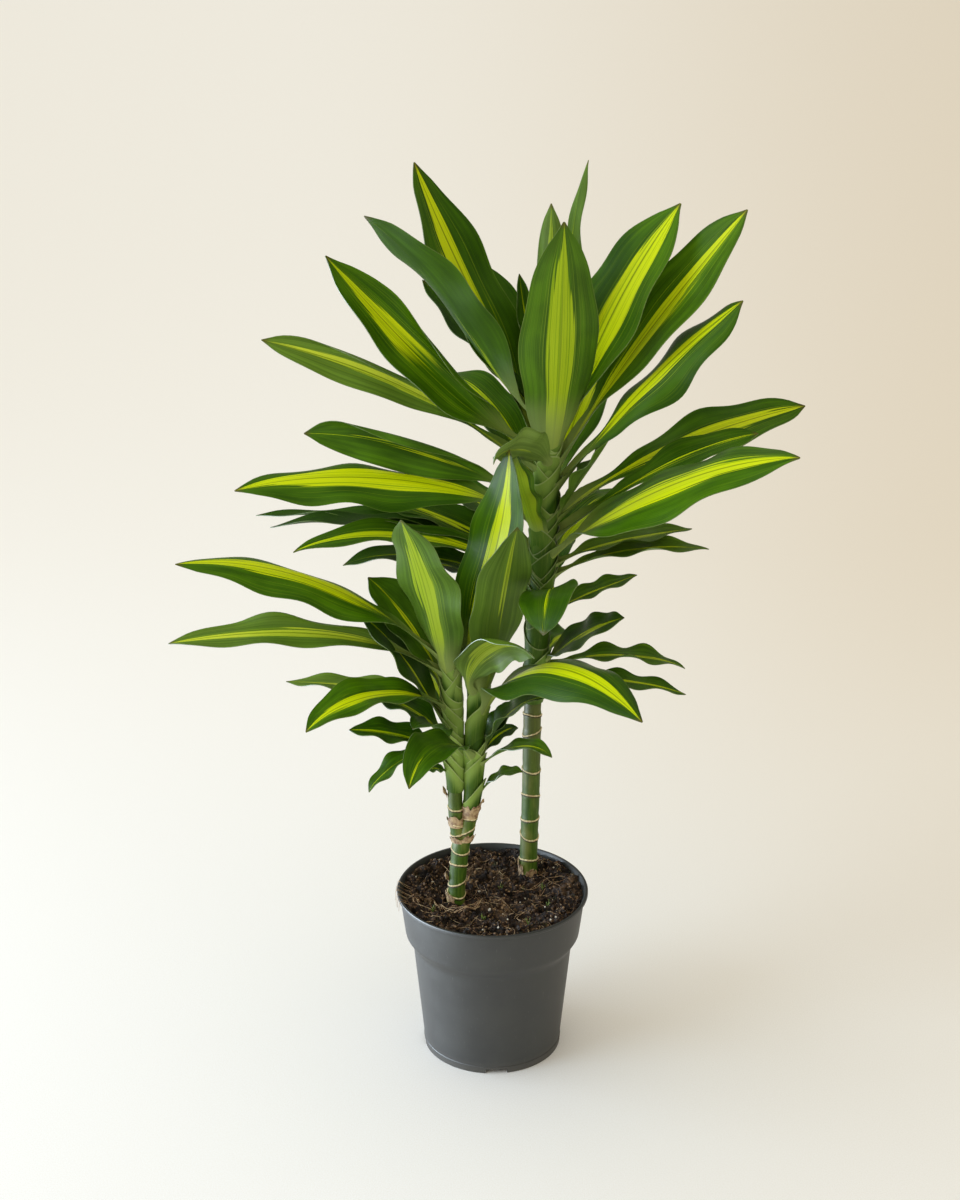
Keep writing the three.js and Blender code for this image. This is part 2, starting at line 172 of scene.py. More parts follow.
def objectPlace(tree, scale=(1, 1, 1)):
    place = put(tree, "TexCoord").outputs["Object"]
    return put(tree, "Mapping", {"Vector": place, "Scale": scale}).outputs[0]


def objectHeight(tree):
    return split(tree, put(tree, "TexCoord").outputs["Object"])["Z"]


def startMaterial(name):
    material = bpy.data.materials.new(name)
    material.use_nodes = True
    tree = material.node_tree
    return material, tree, tree.nodes["Principled BSDF"]


def feed(tree, shader, colour=None, roughness=None, height=None, bump=0.2, depth=0.5 * mm):
    if colour is not None:
        tree.links.new(colour, shader.inputs["Base Color"])
    if roughness is not None:
        tree.links.new(roughness, shader.inputs["Roughness"])
    if height is not None:
        node = put(tree, "Bump", {"Height": height, "Strength": bump, "Distance": depth})
        tree.links.new(node.outputs[0], shader.inputs["Normal"])


def newGroup(name, inputs, outputs):  # a socket is its name with its type
    group = bpy.data.node_groups.new(name, "ShaderNodeTree")
    for label, kind in inputs.items():
        group.interface.new_socket(label, in_out="INPUT", socket_type="NodeSocket" + kind)
    for label, kind in outputs.items():
        group.interface.new_socket(label, in_out="OUTPUT", socket_type="NodeSocket" + kind)
    return group, group.nodes.new("NodeGroupInput").outputs, group.nodes.new("NodeGroupOutput").inputs


# camera
cameraPlan = {"lens": 72.6, "place": (-0.0111, -1.8901, 1.2184), "lookDown": 22.6}


def placeCamera(plan):
    deselectAll()
    turn = (math.radians(90 - plan["lookDown"]), 0, 0)
    bpy.ops.object.camera_add(location=plan["place"], rotation=turn)
    camera = bpy.context.active_object
    camera.name = "photoCamera"
    camera.data.lens = plan["lens"]
    camera.data.sensor_fit = "VERTICAL"
    camera.data.sensor_height = 36
    camera.data.clip_end = 60
    bpy.context.scene.camera = camera


placeCamera(cameraPlan)

# studio
studio = {
    "floorSize": 40.0,
    "floorColour": (247, 249, 252),
    "farShadeColour": (242, 241, 239),
    "sideShadeColour": (224, 214, 199),
    "grainColour": (214, 208, 196),
    "farShadeZone": (-0.5, 1.4),  # metres behind the plant over which the floor takes its far colour, a painted shade
    "viewer": 1.9,  # metres from the plant to the point where the painted shade on the right side opens as a fan
    "sideShadeZone": (-0.1, 0.24),
    "air": {"colour": (255, 247, 230), "left": 1.28, "right": 0.57, "mirrored": 0.3},
    "lamps": [
        {"name": "windowLight", "type": "SUN", "place": (-3.0, -1.3, 2.2), "aim": (0, 0, 0.3),
         "angle": 30, "energy": 1.05, "colour": (202, 230, 255)},
        {"name": "softWindow", "type": "AREA", "place": (-1.75, 0.25, 0.75), "aim": (0, 0, 0.3),
         "size": (0.9, 1.3), "energy": 10, "colour": (206, 230, 255)},
        {"name": "windowSheen", "type": "AREA", "place": (-1.05, -0.1, 0.17), "aim": (0, 0, 0.1),
         "size": (0.9, 0.32), "energy": 56, "colour": (226, 240, 255), "sheenOnly": True},
    ],
}


def buildFloor(plan):
    deselectAll()
    bpy.ops.mesh.primitive_plane_add(size=plan["floorSize"], location=(0, 0, 0))
    floor = bpy.context.active_object
    floor.name = floor.data.name = "studioFloor"
    material, tree, shader = startMaterial("floorPaper")
    grain = cloud(tree, objectPlace(tree), 900, 2)
    place = split(tree, put(tree, "TexCoord").outputs["Object"])
    farShade = step(tree, place["Y"], *plan["farShadeZone"])
    away = calc(tree, "ADD", calc(tree, "MAXIMUM", place["Y"], -0.9), plan["viewer"])
    sideShade = step(tree, calc(tree, "DIVIDE", place["X"], away), *plan["sideShadeZone"])
    # the floor is painted darker and warmer far behind and to the right: painted shade where less light falls
    base = tint(tree, farShade, rgb(*plan["floorColour"]), rgb(*plan["farShadeColour"]))
    base = stain(tree, base, sideShade, calc(tree, "MULTIPLY_ADD", farShade, 0.7, 0.3), rgb(*plan["sideShadeColour"]))
    base = stain(tree, base, step(tree, grain, 0.2, 0.8), 0.3, rgb(*plan["grainColour"]))
    feed(tree, shader, base)
    shader.inputs["Roughness"].default_value = 0.85
    shader.inputs["Specular IOR Level"].default_value = 0.2
    floor.data.materials.append(material)


def buildAir(air):  # brighter on the left, and dim where a surface mirrors it
    world = bpy.context.scene.world or bpy.data.worlds.new("studioAir")
    bpy.context.scene.world = world
    world.use_nodes = True
    tree = world.node_tree
    side = split(tree, put(tree, "TexCoord").outputs["Generated"])["X"]
    glow = put(tree, "MapRange", {"Value": side, "From Min": -1.0, "From Max": 1.0, "To Min": air["left"],
                                  "To Max": air["right"]}).outputs["Result"]
    mirrored = put(tree, "LightPath").outputs["Is Glossy Ray"]
    glow = calc(tree, "MULTIPLY", glow, calc(tree, "MULTIPLY_ADD", mirrored, air["mirrored"] - 1, 1.0))
    background = tree.nodes["Background"]
    background.inputs["Color"].default_value = rgb(*air["colour"])
    tree.links.new(glow, background.inputs["Strength"])


def placeLamp(lamp):
    deselectAll()
    turn = (Vector(lamp["aim"]) - Vector(lamp["place"])).to_track_quat("-Z", "Y").to_euler()
    bpy.ops.object.light_add(type=lamp["type"], location=lamp["place"], rotation=turn)
    light = bpy.context.active_object
    light.name = lamp["name"]
    light.visible_camera = False
    light.visible_diffuse = not lamp.get("sheenOnly", False)
    light.data.energy = lamp["energy"]
    light.data.color = rgb(*lamp["colour"])[:3]
    if lamp["type"] == "AREA":
        light.data.shape = "RECTANGLE"
        light.data.size, light.data.size_y = lamp["size"]
    else:
        light.data.angle = math.radians(lamp["angle"])


buildFloor(studio)
buildAir(studio["air"])
for lamp in studio["lamps"]:
    placeLamp(lamp)
bpy.context.scene.view_settings.view_transform = "Standard"
print("camera and studio placed")

# pot
potPlan = {
    "sides": 160,
    "foot": (61.3, 58.3, 4.5),  # outer radius, inner radius, height of the underside
    # radius and height of each point, up the outside and down the inside
    "outside": [(61.5, 0.4), (62.0, 6.5), (61.55, 7.0), (70.8, 100), (71.2, 102), (72.1, 104.6),
                (74.1, 107.8), (76.2, 110.7), (77.5, 113), (77.9, 115), (82.3, 149.8), (82.7, 150.4),
                (84.4, 150.7), (85.0, 151.4), (85.0, 153.2), (84.6, 153.9)],
    "inside": [(82.9, 154), (82.3, 153.4), (80.7, 150), (76.4, 115.4), (75.6, 112.6), (69.7, 103),
               (59.8, 6.6), (59.2, 6.0)],
    "notches": {"count": 4, "first": -86.5, "width": 19, "height": 4.3, "cut": 12},
    "drains": {"ring": 47, "radius": 4.5, "cut": 8},
}


def buildPot(plan):
    footR, innerR, underside = plan["foot"]
    profile = [(innerR, underside), (innerR, 0.3), (innerR + 0.3, 0), (footR - 0.2, 0)]
    profile += plan["outside"] + plan["inside"]
    rings = [((0, 0, z * mm), r * mm) for r, z in profile]
    pot = growTube("plantPot", rings, plan["sides"])
    cutters, notch, drain = [], plan["notches"], plan["drains"]
    for i in range(notch["count"]):
        angle = math.radians(notch["first"] + i * 360 / notch["count"])
        along = Vector((math.cos(angle), math.sin(angle), 0))
        size = Vector((notch["cut"], notch["width"], 2 * notch["height"]))
        deselectAll()
        bpy.ops.mesh.primitive_cube_add(size=1, location=along * (footR - 1) * mm, rotation=(0, 0, angle),
                                        scale=size * mm)
        cutters.append(settle(bpy.context.active_object))
        centre = along * drain["ring"] + Vector((0, 0, underside))
        deselectAll()
        bpy.ops.mesh.primitive_cylinder_add(vertices=32, radius=drain["radius"] * mm,
                                            depth=drain["cut"] * mm, location=centre * mm)
        cutters.append(settle(bpy.context.active_object))
    cutter = joinAs("potCutter", cutters)
    finishWith(pot, "BOOLEAN", object=cutter, operation="DIFFERENCE", solver="EXACT")
    bpy.data.objects.remove(cutter)
    return smoothShade(pot, 25)


pot = buildPot(potPlan)
print("pot built,", len(pot.data.polygons), "faces")


def potMaterial():
    material, tree, shader = startMaterial("potPlastic")
    place = objectPlace(tree)
    fine, broad = cloud(tree, place, 900, 3), cloud(tree, place, 26, 4, 0.6)
    scuffs = cloud(tree, objectPlace(tree, (60, 60, 700)), 1.4, 4, 0.7)
    scratch = cloud(tree, objectPlace(tree, (900, 900, 46)), 1.0, 2, 0.6)
    dust = cloud(tree, place, 420, 5, 0.75)
    low = step(tree, objectHeight(tree), 14 * mm, 1 * mm)
    base = tint(tree, step(tree, broad, 0.3, 0.72), rgb(46, 47, 46), rgb(55, 56, 53))
    base = stain(tree, base, step(tree, scratch, 0.66, 0.8), 0.3, rgb(120, 120, 116))
    base = stain(tree, base, step(tree, scuffs, 0.68, 0.82), 0.25, rgb(132, 130, 124))
    base = stain(tree, base, step(tree, dust, 0.7, 0.78), 0.4, rgb(150, 144, 132))
    base = stain(tree, base, low, 0.35, rgb(96, 92, 84))
    gloss = put(tree, "MapRange", {"Value": broad, "From Min": 0.3, "From Max": 0.7, "To Min": 0.46,
                                   "To Max": 0.56}).outputs["Result"]
    feed(tree, shader, base, gloss, fine, 0.12, 0.2 * mm)
    shader.inputs["Specular IOR Level"].default_value = 0.6
    return material


pot.data.materials.append(potMaterial())
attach(pot, "root")
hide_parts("pot")

# soil
soilPlan = {
    "level": 146, "rise": 5.6, "brimR": 80.2, "cells": 230,
    "skirt": [(79.4, 145), (76.0, 115), (69.2, 102.6), (59.4, 7)],
    # roughness: how high each kind is and how far apart, in millimetres
    "lumps": (2.3, 11), "clods": (1.3, 4.6), "clefts": (1.7, 3.1), "grit": (0.8, 1.35), "pits": (13, 6.5),
    "crumbs": {"count": 2600, "size": (0.7, 2.6)},
    "perlite": {"count": 30, "size": (0.8, 1.9)},
    "fibres": {"count": 90, "length": (10, 56), "thick": (0.14, 0.36)},
    "loops": {"count": 12, "centre": (-32, -6), "from": (2.6, 5.6), "sweep": (0.5, 1.5), "reach": (10, 26),
              "height": 4.5, "thick": (0.25, 0.5)},
    "overRim": {"count": 9, "from": (2.95, 3.45), "thick": (0.14, 0.26),
                "path": [(72, 148), (78, 150), (83, 154.5), (85.6, 155.4), (86.2, 151)]},
    "sprouts": [(50, -16), (30, -52), (-52, -30), (8, 20), (-8, -40), (46, 14)],
}


def relief(x, y):  # the same slow waves as in the solid, in millimetres
    return (1.7 * math.sin(x * 0.11 + 1) * math.cos(y * 0.13) + 1.3 * math.sin((x + y) * 0.21)
            + 0.9 * math.cos((x - 2 * y) * 0.19 + 2)
            + soilPlan["rise"] * smoothStep(45, 72, math.hypot(x, y)))


def soilHeight(x, y):
    plan, place = soilPlan, Vector((x, y, 0))
    lumps = plan["lumps"][0] * noise.noise(place / plan["lumps"][1])
    clods = plan["clods"][0] * noise.noise(place / plan["clods"][1] + Vector((9, 0, 0)))
    clefts, _ = noise.voronoi(place / plan["clefts"][1] + 0.5 * noise.noise_vector(place / 5))
    grit, _ = noise.voronoi(place / plan["grit"][1])
    pits = max(0, noise.noise(place / plan["pits"][1] + Vector((0, 31, 0))) - 0.16)
    edge = max(0, (math.hypot(x, y) - 70) / 10)
    return (plan["level"] + relief(x, y) + (lumps + clods) - plan["pits"][0] * pits
            - plan["clefts"][0] * clefts[0] - plan["grit"][0] * grit[0] - 0.3 * edge * edge)


def buildSoil(plan):
    deselectAll()
    bpy.ops.mesh.primitive_grid_add(x_subdivisions=plan["cells"], y_subdivisions=plan["cells"], size=2)
    soil = bpy.context.active_object
    soil.name = soil.data.name = "pottingSoil"
    for vertex in soil.data.vertices:  # the square grid is drawn in to a disc
        x, y, _ = vertex.co
        reach = max(abs(x), abs(y)) / (math.hypot(x, y) or 1) * plan["brimR"]
        x, y = x * reach, y * reach
        vertex.co = Vector((x, y, soilHeight(x, y))) * mm
    bpy.ops.object.mode_set(mode="EDIT")
    bpy.ops.mesh.select_mode(type="EDGE")
    bpy.ops.mesh.select_all(action="DESELECT")
    bpy.ops.mesh.select_non_manifold()
    radius, level = plan["brimR"], plan["level"]
    for nextRadius, nextLevel in plan["skirt"]:
        drop = Vector((0, 0, (nextLevel - level) * mm))
        bpy.ops.mesh.extrude_edges_move(TRANSFORM_OT_translate={"value": drop})
        ratio = nextRadius / radius
        bpy.ops.transform.resize(value=(ratio, ratio, 0), center_override=(0, 0, nextLevel * mm))
        radius, level = nextRadius, nextLevel
    bpy.ops.mesh.edge_face_add()
    bpy.ops.object.mode_set(mode="OBJECT")
    facesOut(soil)
    return smoothShade(soil, 70)


def grain(subdivisions, seed, jitter):  # one irregular grain of radius 1
    deselectAll()
    bpy.ops.mesh.primitive_ico_sphere_add(subdivisions=subdivisions, radius=1)
    piece = bpy.context.active_object
    for vertex in piece.data.vertices:
        vertex.co *= 1 + jitter * noise.noise(vertex.co * 1.7 + Vector((seed * 7.3, 0, 0)))
    return piece


def scatter(name, masters, places):  # a place is (position, size, turn, master); each copy has its own mesh
    copies = []
    for position, size, turn, index in places:
        copy = masters[index % len(masters)].copy()
        copy.data = copy.data.copy()
        copy.matrix_world = Matrix.LocRotScale(position, turn, size)
        bpy.context.collection.objects.link(copy)
        copies.append(copy)
    for master in masters:
        bpy.data.objects.remove(master)
    return smoothShade(settle(joinAs(name, copies)), 60)


def onSoil(chance, reach=78):  # a random place on the soil, in millimetres
    angle, radius = chance.uniform(0, math.tau), reach * math.sqrt(chance.random())
    x, y = radius * math.cos(angle), radius * math.sin(angle)
    return Vector((x, y, soilHeight(x, y)))


def randomTurn(chance):
    angle = chance.uniform(0, math.tau)
    axis = Vector((chance.random(), chance.random(), 0.1 + chance.random()))
    return Matrix.Rotation(angle, 4, axis).to_quaternion()


def buildGrains(name, plan, subdivisions, jitter, seed):
    chance = random.Random(seed)
    masters = [grain(subdivisions, seed + i, jitter) for i in range(5)]
    places = []
    for i in range(plan["count"]):
        small, large = plan["size"]
        size = small + (large - small) * chance.random() ** 2.5
        position = onSoil(chance) + Vector((0, 0, size * 0.25))
        squash = Vector((1, chance.uniform(0.6, 1), chance.uniform(0.5, 0.9)))
        places.append((position * mm, squash * size * mm, randomTurn(chance), i))
    return scatter(name, masters, places)


def thread(points, thick):  # a fibre or root through points, in millimetres
    curve = bpy.data.curves.new("thread", "CURVE")
    curve.dimensions = "3D"
    curve.bevel_depth = thick * mm
    curve.bevel_resolution = 1
    curve.resolution_u = 4
    curve.use_fill_caps = True
    spline = curve.splines.new("NURBS")
    spline.points.add(len(points) - 1)
    for target, point in zip(spline.points, points):
        target.co = (*(Vector(point) * mm), 1)
    for i, target in enumerate(spline.points):
        target.radius = 1 - 0.55 * i / len(points)
    spline.use_endpoint_u = True
    spline.order_u = 4
    piece = bpy.data.objects.new("thread", curve)
    bpy.context.collection.objects.link(piece)
    pick(piece)
    bpy.ops.object.convert(target="MESH")
    return bpy.context.active_object


def wander(chance, start, length, steps=7, lift=1.2):  # points of a fibre that crawls over the soil
    heading = chance.uniform(0, math.tau)
    points = [start.copy()]
    x, y = start.x, start.y
    for i in range(steps):
        heading += chance.gauss(0, 0.55)
        x += length / steps * math.cos(heading)
        y += length / steps * math.sin(heading)
        if math.hypot(x, y) > 78:
            heading += math.pi / 2
            x, y = x * 0.97, y * 0.97
        rise = lift * chance.random() if 0 < i < steps - 1 else -0.6
        points.append(Vector((x, y, soilHeight(x, y) + 0.5 + rise)))
    return points


def buildFibres(fibres, loops, overRim):
    chance = random.Random(5)
    pieces = []
    for _ in range(fibres["count"]):
        length = chance.uniform(*fibres["length"])
        points = wander(chance, onSoil(chance, 74), length)
        pieces.append(thread(points, chance.uniform(*fibres["thick"])))
    for _ in range(loops["count"]):  # roots that arch out of the soil round the forked cane
        start, sweep = chance.uniform(*loops["from"]), chance.uniform(*loops["sweep"])
        reach = chance.uniform(*loops["reach"])
        points = []
        for k in range(7):
            angle = start + sweep * k / 6
            x = loops["centre"][0] + reach * math.cos(angle)
            y = loops["centre"][1] + reach * math.sin(angle)
            arch = loops["height"] * math.sin(math.pi * k / 6) * chance.uniform(0.5, 1)
            points.append(Vector((x, y, soilHeight(x, y) + arch)))
        pieces.append(thread(points, chance.uniform(*loops["thick"])))
    for _ in range(overRim["count"]):  # a few fibres hang over the rim on the left
        angle = chance.uniform(*overRim["from"])
        points = []
        for radius, height in overRim["path"] + [(86.4, 147 - chance.uniform(0, 4))]:
            turn = angle + chance.uniform(-0.02, 0.02)
            points.append(Vector((radius * math.cos(turn), radius * math.sin(turn), height)))
        pieces.append(thread(points, chance.uniform(*overRim["thick"])))
    return smoothShade(joinAs("rootFibres", pieces), 60)


def buildSprouts(places):  # small green shoots and moss tufts pushing out of the soil
    chance = random.Random(31)
    pieces = []
    for x, y in places:
        for _ in range(4):
            foot = Vector((x + chance.uniform(-1.5, 1.5), y + chance.uniform(-1.5, 1.5), 0))
            foot.z = soilHeight(foot.x, foot.y) - 1
            lean = Vector((chance.uniform(-2.5, 2.5), chance.uniform(-2.5, 2.5), chance.uniform(3.5, 7.5)))
            bend = Vector((chance.uniform(-1, 1), chance.uniform(-1, 1), 1.5))
            points = [foot, foot + lean * 0.4 + bend * 0.4, foot + lean * 0.75 + bend, foot + lean]
            pieces.append(thread(points, chance.uniform(0.35, 0.6)))
    return smoothShade(joinAs("sproutTips", pieces), 60)


soil = buildSoil(soilPlan)
crumbs = buildGrains("soilCrumbs", soilPlan["crumbs"], 1, 0.5, 21)
perlite = buildGrains("perliteGrains", soilPlan["perlite"], 2, 0.35, 47)
fibres = buildFibres(soilPlan["fibres"], soilPlan["loops"], soilPlan["overRim"])
sprouts = buildSprouts(soilPlan["sprouts"])
print("soil built")


def peatLook():  # group: chips of peat, dark patches painted as the shade in hollows, and a little moss
    group, given, made = newGroup("peatLook", {"Place": "Vector", "Dark": "Color", "Warm": "Color",
                                               "Pale": "Color", "Moss": "Color"},
                                  {"Colour": "Color", "Height": "Float"})
    place = given["Place"]
    mid, broad, fine = (cloud(group, place, 210, 5, 0.75), cloud(group, place, 34, 3),
                        cloud(group, place, 900, 3, 0.7))
    hollowShade, moss = cloud(group, place, 74, 3, 0.6), cloud(group, place, 90, 4, 0.7)
    chip = put(group, "TexVoronoi", {"Vector": place, "Scale": 560.0}).outputs["Color"]
    chip = put(group, "SeparateColor", {"Color": chip}).outputs["Red"]
    base = tint(group, step(group, mid, 0.3, 0.62), given["Dark"], given["Warm"])
    base = stain(group, base, step(group, chip, 0.35, 0.0), 0.75, given["Dark"])
    base = stain(group, base, step(group, chip, 0.72, 1.0), 0.85, given["Pale"])
    base = stain(group, base, step(group, broad, 0.5, 0.72), 0.4, given["Pale"])
    # dark patches here are painted shade of hollows
    base = stain(group, base, step(group, hollowShade, 0.5, 0.62), 0.75, given["Dark"])
    base = stain(group, base, step(group, moss, 0.62, 0.7), 0.4, given["Moss"])
    group.links.new(base, made["Colour"])
    group.links.new(calc(group, "ADD", chip, fine), made["Height"])
    return group


def spotsLook():  # group: two colours in soft spots
    group, given, made = newGroup("spotsLook", {"Place": "Vector", "Scale": "Float", "First": "Color",
                                                "Second": "Color"},
                                  {"Colour": "Color", "Height": "Float"})
    spots = cloud(group, given["Place"], given["Scale"], 4, 0.6)
    base = tint(group, step(group, spots, 0.35, 0.65), given["First"], given["Second"])
    group.links.new(base, made["Colour"])
    group.links.new(spots, made["Height"])
    return group


peatGroup, spotsGroup = peatLook(), spotsLook()


def soilMaterial(name, dark, warm, pale):
    material, tree, shader = startMaterial(name)
    peat = put(tree, "Group", node_tree=peatGroup)
    tree.links.new(objectPlace(tree), peat.inputs["Place"])
    for label, colour in (("Dark", dark), ("Warm", warm), ("Pale", pale), ("Moss", rgb(72, 84, 34))):
        peat.inputs[label].default_value = colour
    feed(tree, shader, peat.outputs["Colour"], None, peat.outputs["Height"], 0.55, 0.9 * mm)
    shader.inputs["Roughness"].default_value = 0.8
    shader.inputs["Specular IOR Level"].default_value = 0.3
    return material


def plainMaterial(name, first, second, scale, roughness, bump):
    material, tree, shader = startMaterial(name)
    spots = put(tree, "Group", node_tree=spotsGroup)
    tree.links.new(objectPlace(tree), spots.inputs["Place"])
    spots.inputs["Scale"].default_value = scale
    spots.inputs["First"].default_value = first
    spots.inputs["Second"].default_value = second
    feed(tree, shader, spots.outputs["Colour"], None, spots.outputs["Height"], bump, 0.3 * mm)
    shader.inputs["Roughness"].default_value = roughness
    return material


looks = [
    (soil, soilMaterial("moistPeat", rgb(18, 12, 8), rgb(52, 36, 25), rgb(112, 84, 56))),
    (crumbs, soilMaterial("peatCrumbs", rgb(24, 16, 11), rgb(64, 44, 30), rgb(156, 124, 88))),
    (perlite, plainMaterial("perlite", rgb(232, 226, 214), rgb(186, 172, 150), 900, 0.9, 0.5)),
    (fibres, plainMaterial("rootSkin", rgb(206, 180, 142), rgb(140, 104, 70), 160, 0.8, 0.3)),
    (sprouts, plainMaterial("sproutSkin", rgb(118, 136, 52), rgb(84, 104, 36), 300, 0.6, 0.2)),
]
for piece, material in looks:
    piece.data.materials.append(material)
    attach(piece, "root")
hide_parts("soil")

# canes
# A line is the middle of a cane through points in space, a skin its radius at each height.
canePlan = {
    "tall": [(32, 43.5, 84), (32.5, 43.5, 146), (34.4, 43.5, 230), (35.5, 43.5, 318), (41, 43.5, 413),
             (44.5, 43.5, 505), (49, 43.5, 600)],
    "fork": [(-35, -5.7, 84), (-32.4, -5.7, 146), (-29.6, -5.7, 185), (-26.9, -5.7, 210)],
    "left": [(-26, -5.7, 190), (-32, -5.7, 225), (-33, -5.7, 284), (-35, -5.7, 350), (-38, -5.7, 420)],
    "right": [(-28.5, -5.7, 190), (-21.6, -5.7, 220), (-17.2, -5.7, 254), (-15.8, -5.7, 303),
              (-13, -5.7, 341), (-10, -5.7, 410)],
    "tallSkin": [(84, 6), (140, 9), (150, 8.2), (160, 8), (288, 8), (316, 7.6), (330, 6.2), (560, 5)],
    "forkSkin": [(84, 6), (140, 8.4), (148, 7.7), (160, 7.6), (196, 7.7), (203, 8.2), (208, 6.5)],
    "leftSkin": [(192, 5), (204, 6.4), (240, 6.4), (258, 6.3), (270, 5), (385, 4)],
    "rightSkin": [(192, 5), (204, 6.4), (228, 6.8), (243, 6.6), (255, 5.2), (385, 4)],
    "tallScars": [161, 185, 202, 225, 251, 288, 305],
    "forkScars": [153, 164, 182, 197],
    "leftScars": [213, 220, 238],
    "rightScars": [216, 228, 240],
    "ringRadius": {"tall": 8.1, "fork": 7.7, "left": 6.5, "right": 6.7},
    # the second radius, thickness and drop place a thin dark ring just under each scar ring: a painted shadow
    "shadowRadius": {"tall": 8.15, "fork": 7.75, "left": 6.5, "right": 6.75},
    "ringThick": 0.75, "shadowThick": 0.4, "shadowDrop": 1.5,
    # shoot, foot, height, radius, side it faces, how far round it reaches, flare
    "husks": [("tall", 143, 16, 8.6, 195, 90, 1.2), ("tall", 144, 9, 8.7, 290, 70, 0.8),
              ("left", 220, 10, 6.9, 245, 190, 1.3), ("left", 248, 9, 7.2, 180, 46, 3.6),
              ("right", 229, 13, 7.2, 275, 170, 1.5), ("right", 238, 9, 7.2, 345, 50, 3.2),
              ("right", 206, 7, 7.5, 300, 110, 1.0), ("left", 205, 6, 7.4, 240, 90, 0.8),
              ("fork", 165, 8, 7.9, 186, 34, 3.6), ("fork", 162, 8, 7.9, 345, 34, 2.8),
              ("fork", 146, 9, 8.4, 200, 120, 1.4)],
}


def through(xs, ys, x):  # smooth curve through the points, the same as in the solid
    last = len(xs) - 1
    i = 0
    while i < last - 1 and x > xs[i + 1]:
        i += 1
    def slope(k):
        a, b = max(k - 1, 0), min(k + 1, last)
        return (ys[b] - ys[a]) / (xs[b] - xs[a])
    h = xs[i + 1] - xs[i]
    t = (x - xs[i]) / h
    return ((2 * t ** 3 - 3 * t * t + 1) * ys[i] + (t ** 3 - 2 * t * t + t) * h * slope(i)
            + (3 * t * t - 2 * t ** 3) * ys[i + 1] + (t ** 3 - t * t) * h * slope(i + 1))


def lineAt(line, z):
    heights = [point[2] for point in line]
    return Vector((through(heights, [point[0] for point in line], z),
                   through(heights, [point[1] for point in line], z), z))


def radiusAt(skin, z):
    z = min(max(z, skin[0][0]), skin[-1][0])
    for (za, ra), (zb, rb) in zip(skin, skin[1:]):
        if za <= z <= zb:
            return ra + (rb - ra) * (z - za) / (zb - za)


def buildCane(name, line, skin, scars, pitch=3.0):
    rings = []
    z, top = skin[0][0], skin[-1][0]
    while z < top:
        radius = radiusAt(skin, z)
        for scar in scars:  # swollen at the scar, drawn in just above it
            radius += 0.35 * math.exp(-((z - scar) / 2.2) ** 2) - 0.25 * math.exp(-((z - scar - 4) / 3) ** 2)
        rings.append((lineAt(line, z) * mm, radius * mm))
        z += pitch
    return growTube(name, rings, 36)


def scarRing(line, z, radius, seed, thick):  # a thin bark ring left where a leaf clasped the cane; also draws the painted shadow line just under each ring
    deselectAll()
    centre = lineAt(line, z) * mm
    bpy.ops.mesh.primitive_torus_add(major_radius=radius * mm, minor_radius=thick * mm, major_segments=64,
                                     minor_segments=8, location=(0, 0, 0))
    ring = bpy.context.active_object
    tilt = 0.7 + 2.6 * abs(math.sin(seed * 1.7))
    for vertex in ring.data.vertices:
        x, y, height = vertex.co
        angle = math.atan2(y, x)
        around = Vector((math.cos(angle), math.sin(angle), seed))
        wave = 0.8 * noise.noise(around) + tilt * math.sin(angle + seed * 2.1)
        grow = 1 + 0.04 * noise.noise(around * 3)
        ragged = 1 + 0.6 * noise.noise(around * 5)
        vertex.co = Vector((x * grow, y * grow, height * ragged + wave * mm)) + centre
    return ring


def scrap(line, foot, height, radius, heading, spread, flare, seed):  # papery rest of a leaf sheath
    deselectAll()
    bpy.ops.mesh.primitive_grid_add(x_subdivisions=22, y_subdivisions=10, size=2)
    piece = bpy.context.active_object
    for vertex in piece.data.vertices:
        u, t = vertex.co.x, (vertex.co.y + 1) / 2
        ragged = 0.55 + 0.45 * math.cos(u * 1.4) + 0.5 * noise.noise(Vector((u * 4, seed, 0)))
        angle = math.radians(heading + u * spread / 2) + 0.12 * noise.noise(Vector((t * 3, seed, 5)))
        out = radius + flare * t ** 2 + 0.5 * noise.noise(Vector((u * 3, t * 4, seed)))
        z = foot + height * ragged * t
        vertex.co = (lineAt(line, z) + Vector((math.cos(angle), math.sin(angle), 0)) * out) * mm
    return piece


tallCane = buildCane("caneTall", canePlan["tall"], canePlan["tallSkin"], canePlan["tallScars"])
forkParts = [
    buildCane("forkFoot", canePlan["fork"], canePlan["forkSkin"], canePlan["forkScars"]),
    buildCane("forkLeft", canePlan["left"], canePlan["leftSkin"], canePlan["leftScars"]),
    buildCane("forkRight", canePlan["right"], canePlan["rightSkin"], canePlan["rightScars"]),
]
forkedCane = joinAs("caneForked", forkParts)
rings, shadowLines, husks = [], [], []
for shoot in ("tall", "fork", "left", "right"):
    for z in canePlan[shoot + "Scars"]:
        seed, radius = len(rings) + 1.7, canePlan["ringRadius"][shoot]
        rings.append(scarRing(canePlan[shoot], z, radius, seed, canePlan["ringThick"]))
        # a thin dark ring just below the scar ring: painted shadow under it
        z, radius = z - canePlan["shadowDrop"], canePlan["shadowRadius"][shoot]
        shadowLines.append(scarRing(canePlan[shoot], z, radius, seed, canePlan["shadowThick"]))
for shoot, *shape in canePlan["husks"]:
    husks.append(scrap(canePlan[shoot], *shape, len(husks) * 3.7))
scarBark = smoothShade(joinAs("leafScars", rings), 60)
ringShadows = smoothShade(joinAs("ringShadows", shadowLines), 60)
papery = finishWith(joinAs("sheathScraps", husks), "SOLIDIFY", thickness=0.35 * mm, offset=0)
smoothShade(papery, 50)
for piece in (tallCane, forkedCane):
    smoothShade(piece, 60)
print("canes built")


